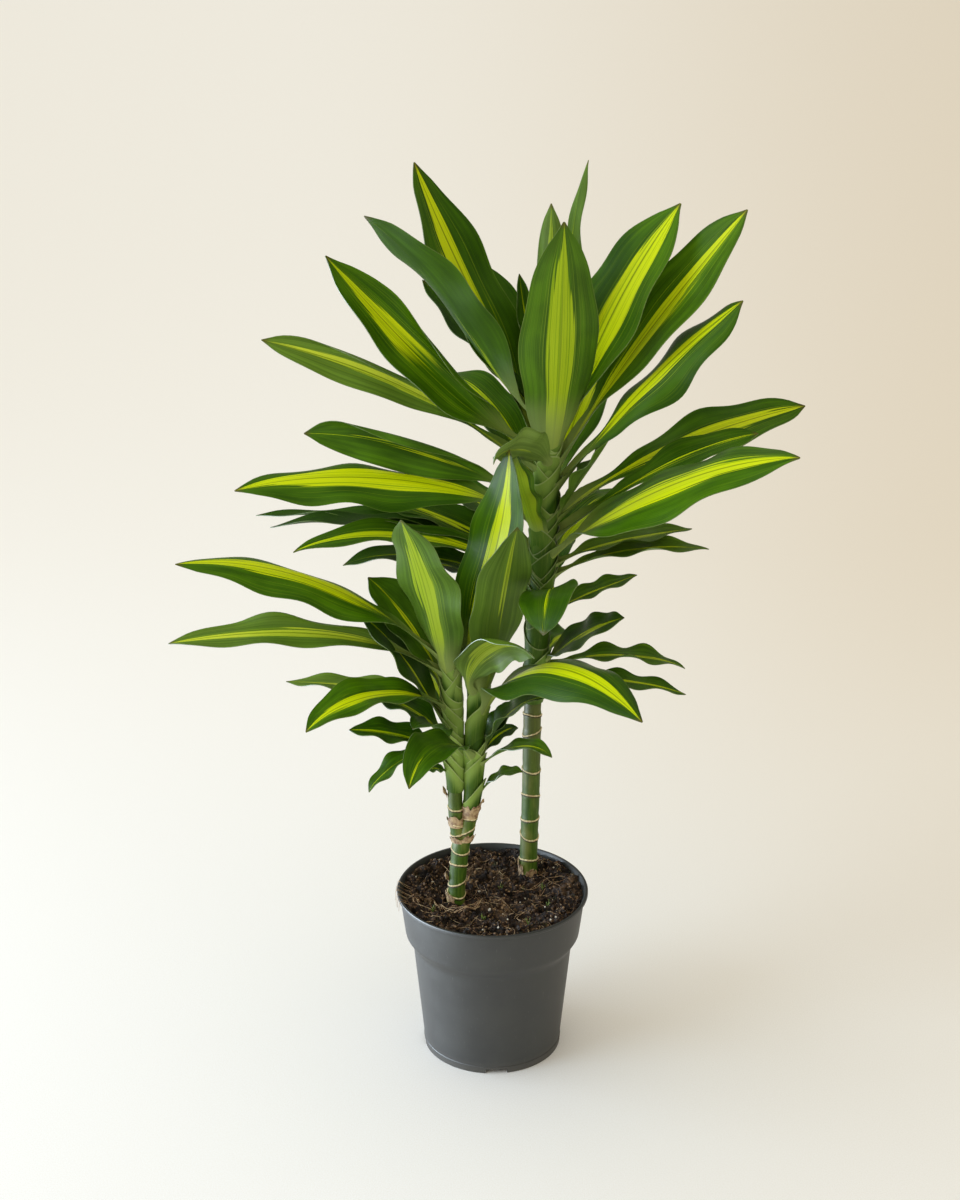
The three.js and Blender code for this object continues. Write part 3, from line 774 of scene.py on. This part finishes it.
def caneMaterial():
    material, tree, shader = startMaterial("caneSkin")
    streaks = cloud(tree, objectPlace(tree, (520, 520, 30)), 1, 4, 0.65)
    broad = cloud(tree, objectPlace(tree, (70, 70, 26)), 1, 3)
    specks = cloud(tree, objectPlace(tree), 800, 3, 0.7)
    old = step(tree, objectHeight(tree), 200 * mm, 320 * mm)
    base = tint(tree, step(tree, streaks, 0.3, 0.7), rgb(52, 82, 14), rgb(80, 108, 30))
    base = stain(tree, base, step(tree, broad, 0.5, 0.72), 0.7, rgb(126, 132, 62))
    base = stain(tree, base, old, 0.55, rgb(96, 92, 44))
    base = stain(tree, base, step(tree, specks, 0.66, 0.76), 0.6, rgb(170, 160, 110))
    gloss = put(tree, "MapRange", {"Value": streaks, "To Min": 0.42, "To Max": 0.6}).outputs["Result"]
    feed(tree, shader, base, gloss, streaks, 0.25, 0.4 * mm)
    shader.inputs["Specular IOR Level"].default_value = 0.2
    return material


caneSkin = caneMaterial()
looks = [
    (tallCane, caneSkin),
    (forkedCane, caneSkin),
    (scarBark, plainMaterial("scarBark", rgb(230, 216, 168), rgb(192, 168, 122), 500, 0.85, 0.5)),
    # dark brown rings under the scar rings: painted shadow
    (ringShadows, plainMaterial("ringShadow", rgb(84, 66, 40), rgb(54, 50, 26), 500, 0.9, 0.4)),
    (papery, plainMaterial("paperyHusk", rgb(190, 164, 122), rgb(126, 94, 62), 260, 0.8, 0.6)),
]
for piece, material in looks:
    piece.data.materials.append(material)
    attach(piece, "root")
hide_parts("cane_tall")
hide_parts("cane_forked")

# leaves
# A row is one leaf: height where it leaves the shoot, tip, width, then how it is bent; leafPlan gives the
# bends that a row leaves out. A curl is its side, its degrees, and where along the leaf it begins and ends.
tallLeaves = [
    dict(at=535, tip=(-66, 108, 781), width=68, pitch=66, rise=0.25, fold=30, roll=-10, wave=4),
    dict(at=575, tip=(-105, 40, 752), width=50, lean=50, pitch=36, rise=0.25, run=0.4, peak=0.44,
         fold=40, roll=62, curl=(-1, 120, 0.02, 0.9)),
    dict(at=548, tip=(-137, 36, 720), width=56, lean=62, pitch=50, rise=0.25, peak=0.46, fold=50,
         roll=-48, curl=(-1, 150, 0.05, 0.8)),
    dict(at=530, tip=(-192, 40, 648), width=36, lean=50, pitch=14, rise=0.3, run=0.45, peak=0.62,
         fold=30, roll=-56, curl=(-1, 150, 0.25, 1), neck=0.14),
    dict(at=500, tip=(-160, 53, 562), width=44, lean=50, pitch=-4, rise=0.2, peak=0.56, fold=30,
         roll=-66, curl=(-1, 170, 0.15, 1), neck=0.16),
    dict(at=480, tip=(-216, 10, 526), width=54, lean=34, pitch=-15, rise=0.2, fold=-110, roll=-28, wave=-5),
    dict(at=560, tip=(22, 100, 688), width=24, pitch=75, rise=0.3, fold=120),
    dict(at=555, tip=(-8, 130, 690), width=52, pitch=60, rise=0.3),
    dict(at=580, tip=(47, 54, 759), width=34, pitch=85, rise=0.3, fold=140, roll=170),
    dict(at=580, tip=(78, 80, 789), width=19, pitch=60, rise=0.3, fold=90, roll=170),
    dict(at=552, tip=(56, 8, 755), width=68, pitch=87, rise=0.35, neck=0.6, peak=0.42, fold=30),
    dict(at=545, tip=(155, 84, 752), width=78, pitch=50, rise=0.3, fold=35, roll=15),
    dict(at=530, tip=(208, 62, 752), width=60, lean=20, pitch=50, rise=0.22, peak=0.6, fold=35, roll=30),
    dict(at=512, tip=(204, 30, 684), width=54, lean=30, pitch=38, rise=0.25, peak=0.6, fold=-100,
         roll=30, wave=5),
    dict(at=560, tip=(-60, 110, 680), width=44, pitch=45, rise=0.25),
    dict(at=480, tip=(271, 113, 567), width=54, lean=30, pitch=5, rise=0.2, peak=0.64, fold=10, roll=20,
         wave=4),
    dict(at=452, tip=(241, -87, 589), width=76, lean=35, pitch=10, rise=0.18, peak=0.44, fold=-40, roll=24),
    dict(at=485, tip=(96, 28, 564), width=36, lean=20, pitch=60, rise=0.3, fold=80),
    dict(at=466, tip=(224, 50, 563), width=38, lean=34, pitch=12, rise=0.2, peak=0.66, roll=20),
    dict(at=430, tip=(185, 40, 462), width=34, lean=25, pitch=-8, rise=0.2),
    dict(at=440, tip=(172, 63, 472), width=34, lean=30, pitch=5, rise=0.2),
    dict(at=535, tip=(0, -20, 560), width=44, pitch=-70, rise=0.25, run=0.3, swing=50),
    dict(at=435, tip=(-206, 82, 477), width=30, lean=30, pitch=-8, rise=0.2, fold=60, roll=6),
    dict(at=430, tip=(-191, 50, 478), width=36, lean=30, pitch=-15, rise=0.2, fold=60, roll=4),
    dict(at=425, tip=(-168, 2, 474), width=36, lean=25, pitch=-25, rise=0.2, roll=-14),
    dict(at=410, tip=(-130, 60, 439), width=36, lean=25, pitch=-30, rise=0.2, roll=-10),
    dict(at=430, tip=(-113, 90, 492), width=44, lean=25, pitch=0, rise=0.2, roll=-10),
    dict(at=398, tip=(125, 53, 433), width=32, lean=30, pitch=20, rise=0.15, wave=2),
    dict(at=412, tip=(40, -99, 442), width=50, lean=42, pitch=-80, rise=0.35, run=0.35, peak=0.66,
         fold=20, swing=22, wave=1.5),
    dict(at=354, tip=(112, 10, 411), width=50, lean=30, pitch=22, rise=0.2, peak=0.42, fold=20, roll=15,
         wave=2),
    dict(at=345, tip=(168, 40, 350), width=32, lean=20, pitch=-30, rise=0.15, wave=4),
    dict(at=326, tip=(171, 55, 318), width=28, lean=20, pitch=-24, rise=0.15, roll=5),
    dict(at=420, tip=(-52, 60, 440), width=44, rise=0.2),
    # behind the cane, hidden from the front
    dict(at=540, tip=(25, 170, 625), width=52, lean=25, pitch=-20),
    dict(at=505, tip=(-50, 172, 575), width=52, lean=30, pitch=-25),
    dict(at=500, tip=(105, 168, 585), width=52, lean=30, pitch=-20),
    dict(at=465, tip=(30, 174, 515), width=52, lean=30, pitch=-30),
    dict(at=445, tip=(-75, 165, 470), width=48, lean=30, pitch=-30),
    dict(at=440, tip=(125, 150, 470), width=48, lean=30, pitch=-30),
    dict(at=405, tip=(60, 165, 430), width=44, lean=30, pitch=-35),
    dict(at=380, tip=(-10, 150, 390), width=42, lean=30, pitch=-35),
    dict(at=350, tip=(85, 125, 343), width=38, lean=30, pitch=-35),
    # upright in front of the cane
    dict(at=470, tip=(18, 12, 560), width=30, lean=14, pitch=86, rise=0.3, neck=0.8, fold=60),
]

leftLeaves = [
    dict(at=375, tip=(-262, -40, 480), width=56, lean=35, pitch=-5, rise=0.3, fold=-90, roll=-10,
         neck=0.15),
    dict(at=362, tip=(-274, -20, 400), width=35, lean=42, pitch=-10, rise=0.3, fold=30, roll=-22,
         curl=(-1, 140, 0.15, 0.75)),
    dict(at=350, tip=(-107, 30, 440), width=52, pitch=30, rise=0.2, roll=-15),
    dict(at=365, tip=(-75, -56, 525), width=65, pitch=62, rise=0.42, neck=0.5, peak=0.48, fold=30),
    dict(at=358, tip=(13, -12, 570), width=58, pitch=90, rise=0.3, neck=0.5, peak=0.46, fold=35, roll=55),
    dict(at=325, tip=(-180, 30, 342), width=24, lean=20, pitch=-5, rise=0.2, roll=-10),
    dict(at=328, tip=(-155, -86, 349), width=44, pitch=-40, rise=0.22, run=0.4, roll=-12),
    dict(at=315, tip=(-115, -6, 423), width=52, lean=25, pitch=35, rise=0.2, roll=-15),
    dict(at=285, tip=(-123, -26, 322), width=34, pitch=5, rise=0.2, roll=-12),
    dict(at=296, tip=(-106, -46, 273), width=24, pitch=-62, rise=0.2),
    dict(at=300, tip=(-68, -45, 332), width=34, pitch=-30, rise=0.2, wave=1.5),
    dict(at=300, tip=(-112, 18, 335), width=40, pitch=-10, rise=0.2),
    dict(at=272, tip=(-59, -14, 278), width=22, pitch=-20, rise=0.2, wave=1.5),
    # behind, hidden from the front
    dict(at=345, tip=(-95, 140, 388), width=48, lean=25, pitch=-15),
    dict(at=335, tip=(-112, 120, 362), width=42, lean=25, pitch=-10),
    dict(at=300, tip=(-60, 110, 315), width=38, lean=25, pitch=-30),
]

rightLeaves = [
    dict(at=346, tip=(19, -56, 519), width=56, lean=20, pitch=70, rise=0.3, neck=0.5, fold=35),
    dict(at=346, tip=(33, -96, 420), width=44, lean=36, pitch=-15, rise=0.42, run=0.45, peak=0.5,
         fold=-100, roll=25, swing=-66),
    dict(at=325, tip=(116, -176, 401), width=64, lean=20, pitch=-24, rise=0.36, run=0.4, peak=0.4,
         fold=-80, roll=16),
    dict(at=284, tip=(-69, -128, 318), width=40, pitch=-60, rise=0.2, run=0.4, roll=-15),
    dict(at=285, tip=(22, 12, 306), width=26, pitch=-20, rise=0.2, wave=1.5),
    dict(at=278, tip=(50, -46, 306), width=26, lean=25, pitch=-40, rise=0.25, wave=1.5),
    dict(at=252, tip=(26, -16, 277), width=22, pitch=-10, rise=0.25, wave=1.5),
    dict(at=290, tip=(45, -16, 348), width=48, rise=0.2),
    dict(at=290, tip=(26, 8, 331), width=30, pitch=10, rise=0.2, wave=1.5),
]

leafPlan = {
    "along": 46, "across": 18, "thick": 0.62,  # faces along and across a blade, and its thickness
    "habit": {"lean": 12, "pitch": 0, "rise": 0.28, "run": 0.35, "fold": 50, "neck": 0.22, "wave": 3,
              "roll": 0, "swing": 0, "peak": 0.52, "curl": None},
}


def bladeWidth(leaf, along):
    w, n = leaf["width"], leaf["neck"]
    t = along ** (math.log(leafPlan["habit"]["peak"]) / math.log(leaf["peak"]))
    stops = [0, 0.07, 0.16, 0.26, 0.38, 0.52, 0.68, 0.82, 0.92, 0.97, 1]
    widths = [leaf["sheath"], (leaf["sheath"] + n * w) / 2, n * w, (n + 0.36 * (1 - n)) * w, 0.84 * w, w,
              0.95 * w, 0.73 * w, 0.43 * w, 0.17 * w, 0.02 * w]
    return through(stops, widths, t)


def clasp(leaf, t):  # degrees of arc across the blade, closed round the shoot at the foot
    fold = leaf["fold"]
    return through([0, 0.08, 0.18, 0.35, 0.7, 1], [190, 130, 95, fold + 15, fold, fold * 0.6], t)


def midrib(leaf, line, core):  # four handles of the midrib, and the level direction across it
    base, tip = lineAt(line, leaf["at"]), Vector(leaf["tip"])
    up = (lineAt(line, leaf["at"] + 5) - lineAt(line, leaf["at"] - 5)).normalized()
    heading = math.atan2(tip.y - base.y, tip.x - base.x)
    start = heading + math.radians(leaf["swing"])
    out = Vector((math.cos(start), math.sin(start), 0))
    foot = base + out * core * 0.85
    span = (tip - foot).length
    lean, pitch = math.radians(leaf["lean"]), math.radians(leaf["pitch"])
    first = (up * math.cos(lean) + out * math.sin(lean)).normalized()
    last = Vector((math.cos(heading) * math.cos(pitch), math.sin(heading) * math.cos(pitch), math.sin(pitch)))
    handles = (foot, foot + first * span * leaf["rise"], tip - last * span * leaf["run"], tip)
    return handles, Vector((-math.sin(start), math.cos(start), 0))


def stations(handles, count):  # points and directions at equal steps along the midrib
    a, b, c, d = handles
    fine, lengths = [], [0]
    for i in range(201):
        t = i / 200
        fine.append(a * (1 - t) ** 3 + b * 3 * t * (1 - t) ** 2 + c * 3 * t * t * (1 - t) + d * t ** 3)
        if i:
            lengths.append(lengths[-1] + (fine[i] - fine[i - 1]).length)
    found, k = [], 0
    for i in range(count + 1):
        goal = lengths[-1] * i / count
        while k < 199 and lengths[k + 1] < goal:
            k += 1
        part = (goal - lengths[k]) / (lengths[k + 1] - lengths[k])
        found.append((fine[k].lerp(fine[k + 1], part), (fine[k + 1] - fine[k]).normalized()))
    return found


def markAll(piece, name, pair):  # a UV map that holds the same two values all over
    for loop in piece.data.uv_layers.new(name=name).data:
        loop.uv = pair


# seed, stripe, tone and start are for the material, and go into UV maps of the blade
def growLeaf(row, line, core, index, seed, stripe, tone, start):
    leaf = {**leafPlan["habit"], "sheath": 2.2 * core, **row}
    along, across = leafPlan["along"], leafPlan["across"]
    handles, side = midrib(leaf, line, core)
    frames = []
    for i, (middle, tangent) in enumerate(stations(handles, along)):
        side = (side - tangent * side.dot(tangent)).normalized()
        turn = Matrix.Rotation(math.radians(leaf["roll"]) * smoothStep(0.02, 0.35, i / along), 3, tangent)
        sideways = turn @ side
        frames.append((middle, sideways, tangent.cross(sideways)))
    deselectAll()
    bpy.ops.mesh.primitive_grid_add(x_subdivisions=across, y_subdivisions=along, size=2)
    blade = bpy.context.active_object
    phase = index * 2.4
    for vertex in blade.data.vertices:  # the flat grid is bent along the midrib
        u, t = -vertex.co.x, (vertex.co.y + 1) / 2
        middle, sideways, up = frames[round(t * along)]
        half = math.radians(clasp(leaf, t)) / 2  # the cross-section is an arc, this is half of it
        if leaf["curl"] and u * leaf["curl"][0] > 0:
            _, degrees, begin, end = leaf["curl"]
            k = min(max((t - begin) / (end - begin), 0), 1)
            half += math.radians(degrees) * math.sin(math.pi * k) ** 1.2
        half = half if abs(half) > 0.02 else 0.02
        # the two margins wave out of step, and the midrib is pressed in
        swell = leaf["wave"] * max(math.sin(math.pi * (t - 0.18) / 0.82), 0) ** 0.7
        ripple = (math.sin(6 * math.pi * t + phase) if u < 0
                  else math.sin(6.8 * math.pi * t + phase * 1.7 + 2.1))
        width = bladeWidth(leaf, t)
        radius = width / 2 / half
        bend = abs(u) * half
        groove = 0.5 * min(width / 30, 1) * math.exp(-(u / 0.07) ** 2) * smoothStep(0.1, 0.3, t)
        y = radius * math.sin(bend) * math.copysign(1, u)
        z = radius * (1 - math.cos(bend)) + swell * ripple * abs(u) ** 1.6 - groove
        vertex.co = (middle + sideways * y + up * z) * mm
    blade.data.uv_layers[0].name = "blade"
    markAll(blade, "leafMarks", (seed, index * 0.37 % 1))
    markAll(blade, "leafLook", (stripe, tone / 2 + 0.5))
    markAll(blade, "leafStart", (start, 0))
    return blade


# stripes: how wide the yellow stripe of each leaf is. tones: -1 is a dark leaf, 1 a pale one; a dark tone is
# partly the leaf's own deep green and partly painted shade on leaves that sit in shadow.
# starts: the share of the length where a stripe begins, on leaves whose foot is plain green.
shoots = {
    "tall": {
        "rows": tallLeaves, "core": 11, "pale": 0.1,
        "sleeve": [(320, 8.8), (345, 9.9), (440, 10.6), (530, 10.4), (575, 7.8), (598, 4)],
        "stripes": [1.0, 0, 0.95, 0.7, 0.1, 1.05, 0.1, 0.2, 1.0, 0.4, 1.15, 1.1, 0.9, 0.8, 0.2, 0.9, 0.95,
                    0.5, 0.3, 0.15, 0.25, 0, 0.1, 0.1, 0.9, 0.25, 0.7, 0.25, 0.2, 0.3, 0.5, 0.35, 0.5,
                    0.8, 0.6, 0.9, 0.7, 0.5, 0.8, 0.4, 0.6, 0.5, 2.6],
        "tones": [-0.3, -0.4, 0, 0.7, 0.1, -0.2, -0.5, -0.5, 0.6, 0.4, 0.1, 0, 0.1, -0.4, -0.4, -0.1, -0.1,
                  0.4, -0.2, 0.6, 0.6, 1.0, -0.8, -1, -0.3, -0.8, -0.5, 0.3, -0.6, -0.7, 0.2, -0.1, -0.5,
                  -0.2, -0.4, 0, -0.3, -0.5, 0.1, -0.3, -0.4, -0.2, 0.2],
        "starts": {2: 0.5, 4: 0.3, 13: 0.25, 18: 0.3},
    },
    "left": {
        "rows": leftLeaves, "core": 9, "pale": 0.75,
        "sleeve": [(257, 7), (285, 8), (350, 8.4), (385, 7.2), (405, 4)],
        "stripes": [1, 0.8, 0.15, 1.1, 0.95, 0.1, 0.9, 0.1, 0.3, 0.2, 0.2, 0.3, 0.1, 0.6, 0.5, 0.6],
        "tones": [0, 0.7, 0.1, 0.3, -0.3, 0.9, 0, -0.7, -0.4, -0.3, -0.5, -0.4, -0.2, -0.2, -0.3, 0],
        "starts": {0: 0.3, 1: 0.2},
    },
    "right": {
        "rows": rightLeaves, "core": 9, "pale": 0.75,
        "sleeve": [(241, 7.3), (270, 8), (345, 8.4), (385, 7.2), (405, 4)],
        "stripes": [0.3, 0.9, 1.1, 0.25, 0.2, 0.15, 0.2, 0.3, 0.3],
        "tones": [0.45, 0.7, -0.7, -0.4, -0.5, 0.3, 0.3, -0.6, -0.4],
        "starts": {},
    },
}


sheathPlan = {
    "depth": (24, 10),  # least depth, and how much the seed adds
    "drop": 9, "rise": 24,  # the rim starts below the leaf's own height and climbs on its side
    "clear": 0.1, "flare": 2.6, "thick": 0.45,
}


# the foot of a leaf, wrapped round the shoot with a slanting rim
def growSheath(row, line, skin, seed, pale):
    plan = sheathPlan
    deselectAll()
    bpy.ops.mesh.primitive_grid_add(x_subdivisions=48, y_subdivisions=12, size=2)
    sheath = bpy.context.active_object
    base = lineAt(line, row["at"])
    heading = math.atan2(row["tip"][1] - base.y, row["tip"][0] - base.x) + math.radians(row.get("swing", 0))
    depth = plan["depth"][0] + plan["depth"][1] * seed
    for vertex in sheath.data.vertices:
        turn, t = math.pi * vertex.co.x, (vertex.co.y + 1) / 2
        front = ((1 + math.cos(turn)) / 2) ** 1.3
        rim = row["at"] - plan["drop"] + plan["rise"] * front + 0.6 * math.sin(2 * turn + seed * 9)
        z = max(rim - depth * (1 - t), skin[0][0] - 2)
        spread = 0.3 + 0.5 * seed + plan["flare"] * front
        out = radiusAt(skin, z) + plan["clear"] + spread * t ** 2.4
        angle = heading + turn
        vertex.co = (lineAt(line, z) + Vector((math.cos(angle), math.sin(angle), 0)) * out) * mm
    sheath.data.uv_layers[0].name = "sheath"
    markAll(sheath, "sheathLook", (seed, pale))
    return facesOut(sheath)


def buildSleeve(name, line, skin, pale):  # the body that the sheaths wrap
    rings = []
    for (za, ra), (zb, rb) in zip(skin, skin[1:]):
        for k in range(4):
            z = za + (zb - za) * k / 4
            rings.append((lineAt(line, z) * mm, (ra + (rb - ra) * k / 4) * mm))
    rings.append((lineAt(line, skin[-1][0]) * mm, skin[-1][1] * mm))
    sleeve = growTube(name, rings, 32)
    markAll(sleeve, "sheath", (0.5, 0.4))
    markAll(sleeve, "sheathLook", (0.3, pale))
    sleeve.data.materials.append(sheathSkin)
    return smoothShade(sleeve, 60)


def buildCrown(name, shoot):
    chance = random.Random(name)
    line, plan = canePlan[shoot], shoots[shoot]
    blades, wraps = [], []
    for i, row in enumerate(plan["rows"]):
        seed, stripe, tone = chance.random(), plan["stripes"][i], plan["tones"][i]
        start = plan["starts"].get(i, -0.5)
        blades.append(growLeaf(row, line, plan["core"], i, seed, stripe, tone, start))
        if row["at"] < plan["sleeve"][-2][0] + 6:
            pale = plan["pale"] + 0.5 * smoothStep(455, 520, row["at"])
            wraps.append(growSheath(row, line, plan["sleeve"], seed, pale))
    crown = joinAs(name, blades)
    for material in (leafUpper, leafUnder, leafRim):
        crown.data.materials.append(material)
    finishWith(crown, "SOLIDIFY", thickness=leafPlan["thick"] * mm, offset=0, material_offset=1,
               material_offset_rim=2)
    smoothShade(crown, 50)
    sleeve = buildSleeve(name + "Core", line, plan["sleeve"], plan["pale"])
    sheaths = joinAs(name + "Sheaths", wraps)
    finishWith(sheaths, "SOLIDIFY", thickness=sheathPlan["thick"] * mm, offset=0)
    sheaths.data.materials.append(sheathSkin)
    smoothShade(sheaths, 60)
    return crown, sleeve, sheaths


# group: where on a blade its stripe, streaks, veins, foot and tip are
def bladeMarks():
    group, given, made = newGroup(
        "bladeMarks",
        {"Blade": "Vector", "Leaf": "Vector", "Look": "Vector", "Start": "Vector", "Stripe Width": "Float"},
        {"Stripe": "Float", "Streaks": "Float", "Lines": "Float", "GrooveShade": "Float", "Veins": "Float",
         "Foot": "Float", "Tip": "Float", "Margin": "Float", "Clouds": "Float", "Tone": "Float",
         "Bands": "Float"})
    blade, leaf, look = (split(group, given[name]) for name in ("Blade", "Leaf", "Look"))
    u = calc(group, "MULTIPLY_ADD", blade["X"], 2.0, -1.0)
    away, along = calc(group, "ABSOLUTE", u), blade["Y"]
    seed = calc(group, "MULTIPLY_ADD", leaf["X"], 37.0, leaf["Y"])

    def streak(across, down, shift):  # noise drawn out along the blade
        x = calc(group, "MULTIPLY_ADD", u, across, calc(group, "MULTIPLY", seed, 3.0 + shift))
        y = calc(group, "MULTIPLY_ADD", along, down, shift)
        return cloud(group, vector(group, x, y, seed), 1, 2)
    drift = calc(group, "MULTIPLY_ADD", streak(2.2, 1.6, 1.0), 0.5, -0.25)
    fray = calc(group, "MULTIPLY_ADD", streak(13, 1.2, 5.0), 0.5, -0.25)
    width = calc(group, "MULTIPLY", look["X"], given["Stripe Width"])
    taper = calc(group, "MULTIPLY_ADD", step(group, along, 1.05, 0.6), 0.45, 0.6)
    limit = calc(group, "MULTIPLY", width, taper)
    lean = calc(group, "ADD", away, calc(group, "ADD", drift, fray))
    gap = calc(group, "SUBTRACT", limit, lean)
    past = calc(group, "SUBTRACT", calc(group, "ADD", along, fray), split(group, given["Start"])["X"])
    begun = step(group, past, -0.03, 0.12)
    group.links.new(calc(group, "MULTIPLY", step(group, gap, -0.012, 0.02), begun), made["Stripe"])
    group.links.new(step(group, streak(30, 0.6, 9.0), 0.52, 0.64), made["Streaks"])
    beside = step(group, calc(group, "SUBTRACT", lean, limit), 0.34, 0.05)
    thin = step(group, streak(34, 0.5, 14.0), 0.58, 0.64)
    lines = calc(group, "MULTIPLY", thin, calc(group, "MULTIPLY_ADD", beside, 0.75, 0.25))
    group.links.new(calc(group, "MULTIPLY", lines, step(group, width, 0.02, 0.1)), made["Lines"])
    group.links.new(step(group, streak(9, 0.9, 27.0), 0.35, 0.65), made["Bands"])
    # painted shade: a thin line along the midrib, where the groove lies
    group.links.new(step(group, away, 0.035, 0.008), made["GrooveShade"])
    bent = calc(group, "MULTIPLY_ADD", u, 150.0, calc(group, "MULTIPLY", streak(3, 2, 3.0), 6.0))
    group.links.new(calc(group, "MULTIPLY_ADD", calc(group, "SINE", bent), 0.5, 0.5), made["Veins"])
    group.links.new(step(group, along, 0.3, 0.06), made["Foot"])
    group.links.new(step(group, along, 0.965, 0.995), made["Tip"])
    group.links.new(step(group, away, 0.975, 0.995), made["Margin"])
    group.links.new(streak(2.4, 5.0, 21.0), made["Clouds"])
    group.links.new(look["Y"], made["Tone"])
    return group


def leafMaterial(name, look):
    material, tree, shader = startMaterial(name)
    marks = put(tree, "Group", node_tree=marksGroup)
    for label, uvMap in (("Blade", "blade"), ("Leaf", "leafMarks"), ("Look", "leafLook"),
                         ("Start", "leafStart")):
        tree.links.new(put(tree, "UVMap", uv_map=uvMap).outputs[0], marks.inputs[label])
    marks.inputs["Stripe Width"].default_value = look["stripeWidth"]
    mark = marks.outputs
    green = tint(tree, step(tree, mark["Clouds"], 0.3, 0.7), look["dark"], look["green"])
    # a low tone mixes in the deep green: partly the leaf's own darker green, partly painted shade
    green = tint(tree, calc(tree, "MULTIPLY_ADD", mark["Tone"], -1.6, 0.8), green, look["deepGreenAndShade"])
    green = tint(tree, calc(tree, "MULTIPLY_ADD", mark["Tone"], 1.5, -0.75), green, look["wan"])
    green = stain(tree, green, mark["Bands"], 0.4, look["deepGreenAndShade"])
    green = stain(tree, green, mark["Veins"], 0.2, look["vein"])
    green = stain(tree, green, mark["Lines"], 0.55, look["line"])
    lime = tint(tree, calc(tree, "MULTIPLY_ADD", mark["Tone"], 1.0, -0.5), look["lime"], look["paleLime"])
    stripe = stain(tree, lime, mark["Streaks"], 0.75, look["streak"])
    # the stripe is darkened along the midrib: painted shade in the groove
    stripe = stain(tree, stripe, mark["GrooveShade"], 0.7, look["groove"])
    base = tint(tree, mark["Stripe"], green, stripe)
    base = stain(tree, base, mark["Foot"], look["footPale"], look["foot"])
    base = stain(tree, base, mark["Margin"], 0.25, look["margin"])
    base = stain(tree, base, mark["Tip"], 0.7, look["tip"])
    gloss = calc(tree, "MULTIPLY_ADD", mark["Clouds"], 0.2, look["roughness"])
    feed(tree, shader, base, gloss, mark["Veins"], look["bump"], 0.25 * mm)
    shader.inputs["Specular IOR Level"].default_value = look["shine"]
    return material


marksGroup = bladeMarks()
leafUpper = leafMaterial("leafUpper", {
    "stripeWidth": 0.29, "roughness": 0.26, "bump": 0.25, "shine": 0.1, "footPale": 0.75,
    "dark": rgb(44, 84, 0), "green": rgb(72, 116, 2), "deepGreenAndShade": rgb(24, 54, 12), "wan": rgb(130, 158, 64),
    "vein": rgb(92, 130, 12), "line": rgb(140, 170, 30), "lime": rgb(200, 216, 8),
    "paleLime": rgb(200, 210, 96), "streak": rgb(132, 164, 6), "groove": rgb(88, 110, 4),
    "foot": rgb(156, 172, 92), "margin": rgb(150, 166, 92), "tip": rgb(92, 76, 40)})
leafUnder = leafMaterial("leafUnder", {
    "stripeWidth": 0.25, "roughness": 0.34, "bump": 0.3, "shine": 0.1, "footPale": 0.7,
    "dark": rgb(48, 86, 2), "green": rgb(72, 116, 6), "deepGreenAndShade": rgb(30, 58, 14), "wan": rgb(138, 162, 84),
    "vein": rgb(100, 138, 30), "line": rgb(128, 156, 44), "lime": rgb(160, 186, 20),
    "paleLime": rgb(176, 190, 104), "streak": rgb(110, 146, 16), "groove": rgb(120, 146, 30),
    "foot": rgb(150, 166, 96), "margin": rgb(150, 166, 92), "tip": rgb(92, 76, 40)})
leafRim = plainMaterial("leafRim", rgb(104, 128, 54), rgb(66, 92, 26), 300, 0.5, 0.1)


def sheathMaterial():
    material, tree, shader = startMaterial("sheathSkin")
    wrap = split(tree, put(tree, "UVMap", uv_map="sheath").outputs[0])
    look = split(tree, put(tree, "UVMap", uv_map="sheathLook").outputs[0])
    ribs = cloud(tree, vector(tree, calc(tree, "MULTIPLY", wrap["X"], 46.0), wrap["Y"], look["X"]), 1, 3, 0.6)
    broad = cloud(tree, objectPlace(tree), 40, 3)
    shade = calc(tree, "MULTIPLY_ADD", look["X"], 0.5, calc(tree, "MULTIPLY_ADD", broad, 0.7, -0.25))
    base = tint(tree, step(tree, shade, 0.1, 0.7), rgb(44, 76, 18), rgb(88, 120, 40))
    base = stain(tree, base, look["Y"], step(tree, wrap["Y"], 0.35, 0.85), rgb(146, 174, 84))
    base = stain(tree, base, step(tree, ribs, 0.5, 0.72), 0.3, rgb(140, 160, 66))
    # painted shade: each sheath is darker towards its foot, where it sits inside the rim of the sheath below
    base = stain(tree, base, step(tree, wrap["Y"], 0.5, 0.1), 0.5, rgb(54, 80, 20))
    base = stain(tree, base, step(tree, wrap["Y"], 0.94, 0.98), 0.35, rgb(186, 196, 140))
    feed(tree, shader, base, None, ribs, 0.3, 0.3 * mm)
    shader.inputs["Roughness"].default_value = 0.45
    shader.inputs["Specular IOR Level"].default_value = 0.08
    return material


sheathSkin = sheathMaterial()
for name, shoot, node in (("crownTall", "tall", "crown_tall"), ("crownLeft", "left", "crown_left"),
                          ("crownRight", "right", "crown_right")):
    crown, sleeve, sheaths = buildCrown(name, shoot)
    for piece in (crown, sleeve, sheaths):
        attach(piece, "root")
    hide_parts(node)
    print(name, "built,", len(crown.data.polygons), "faces")
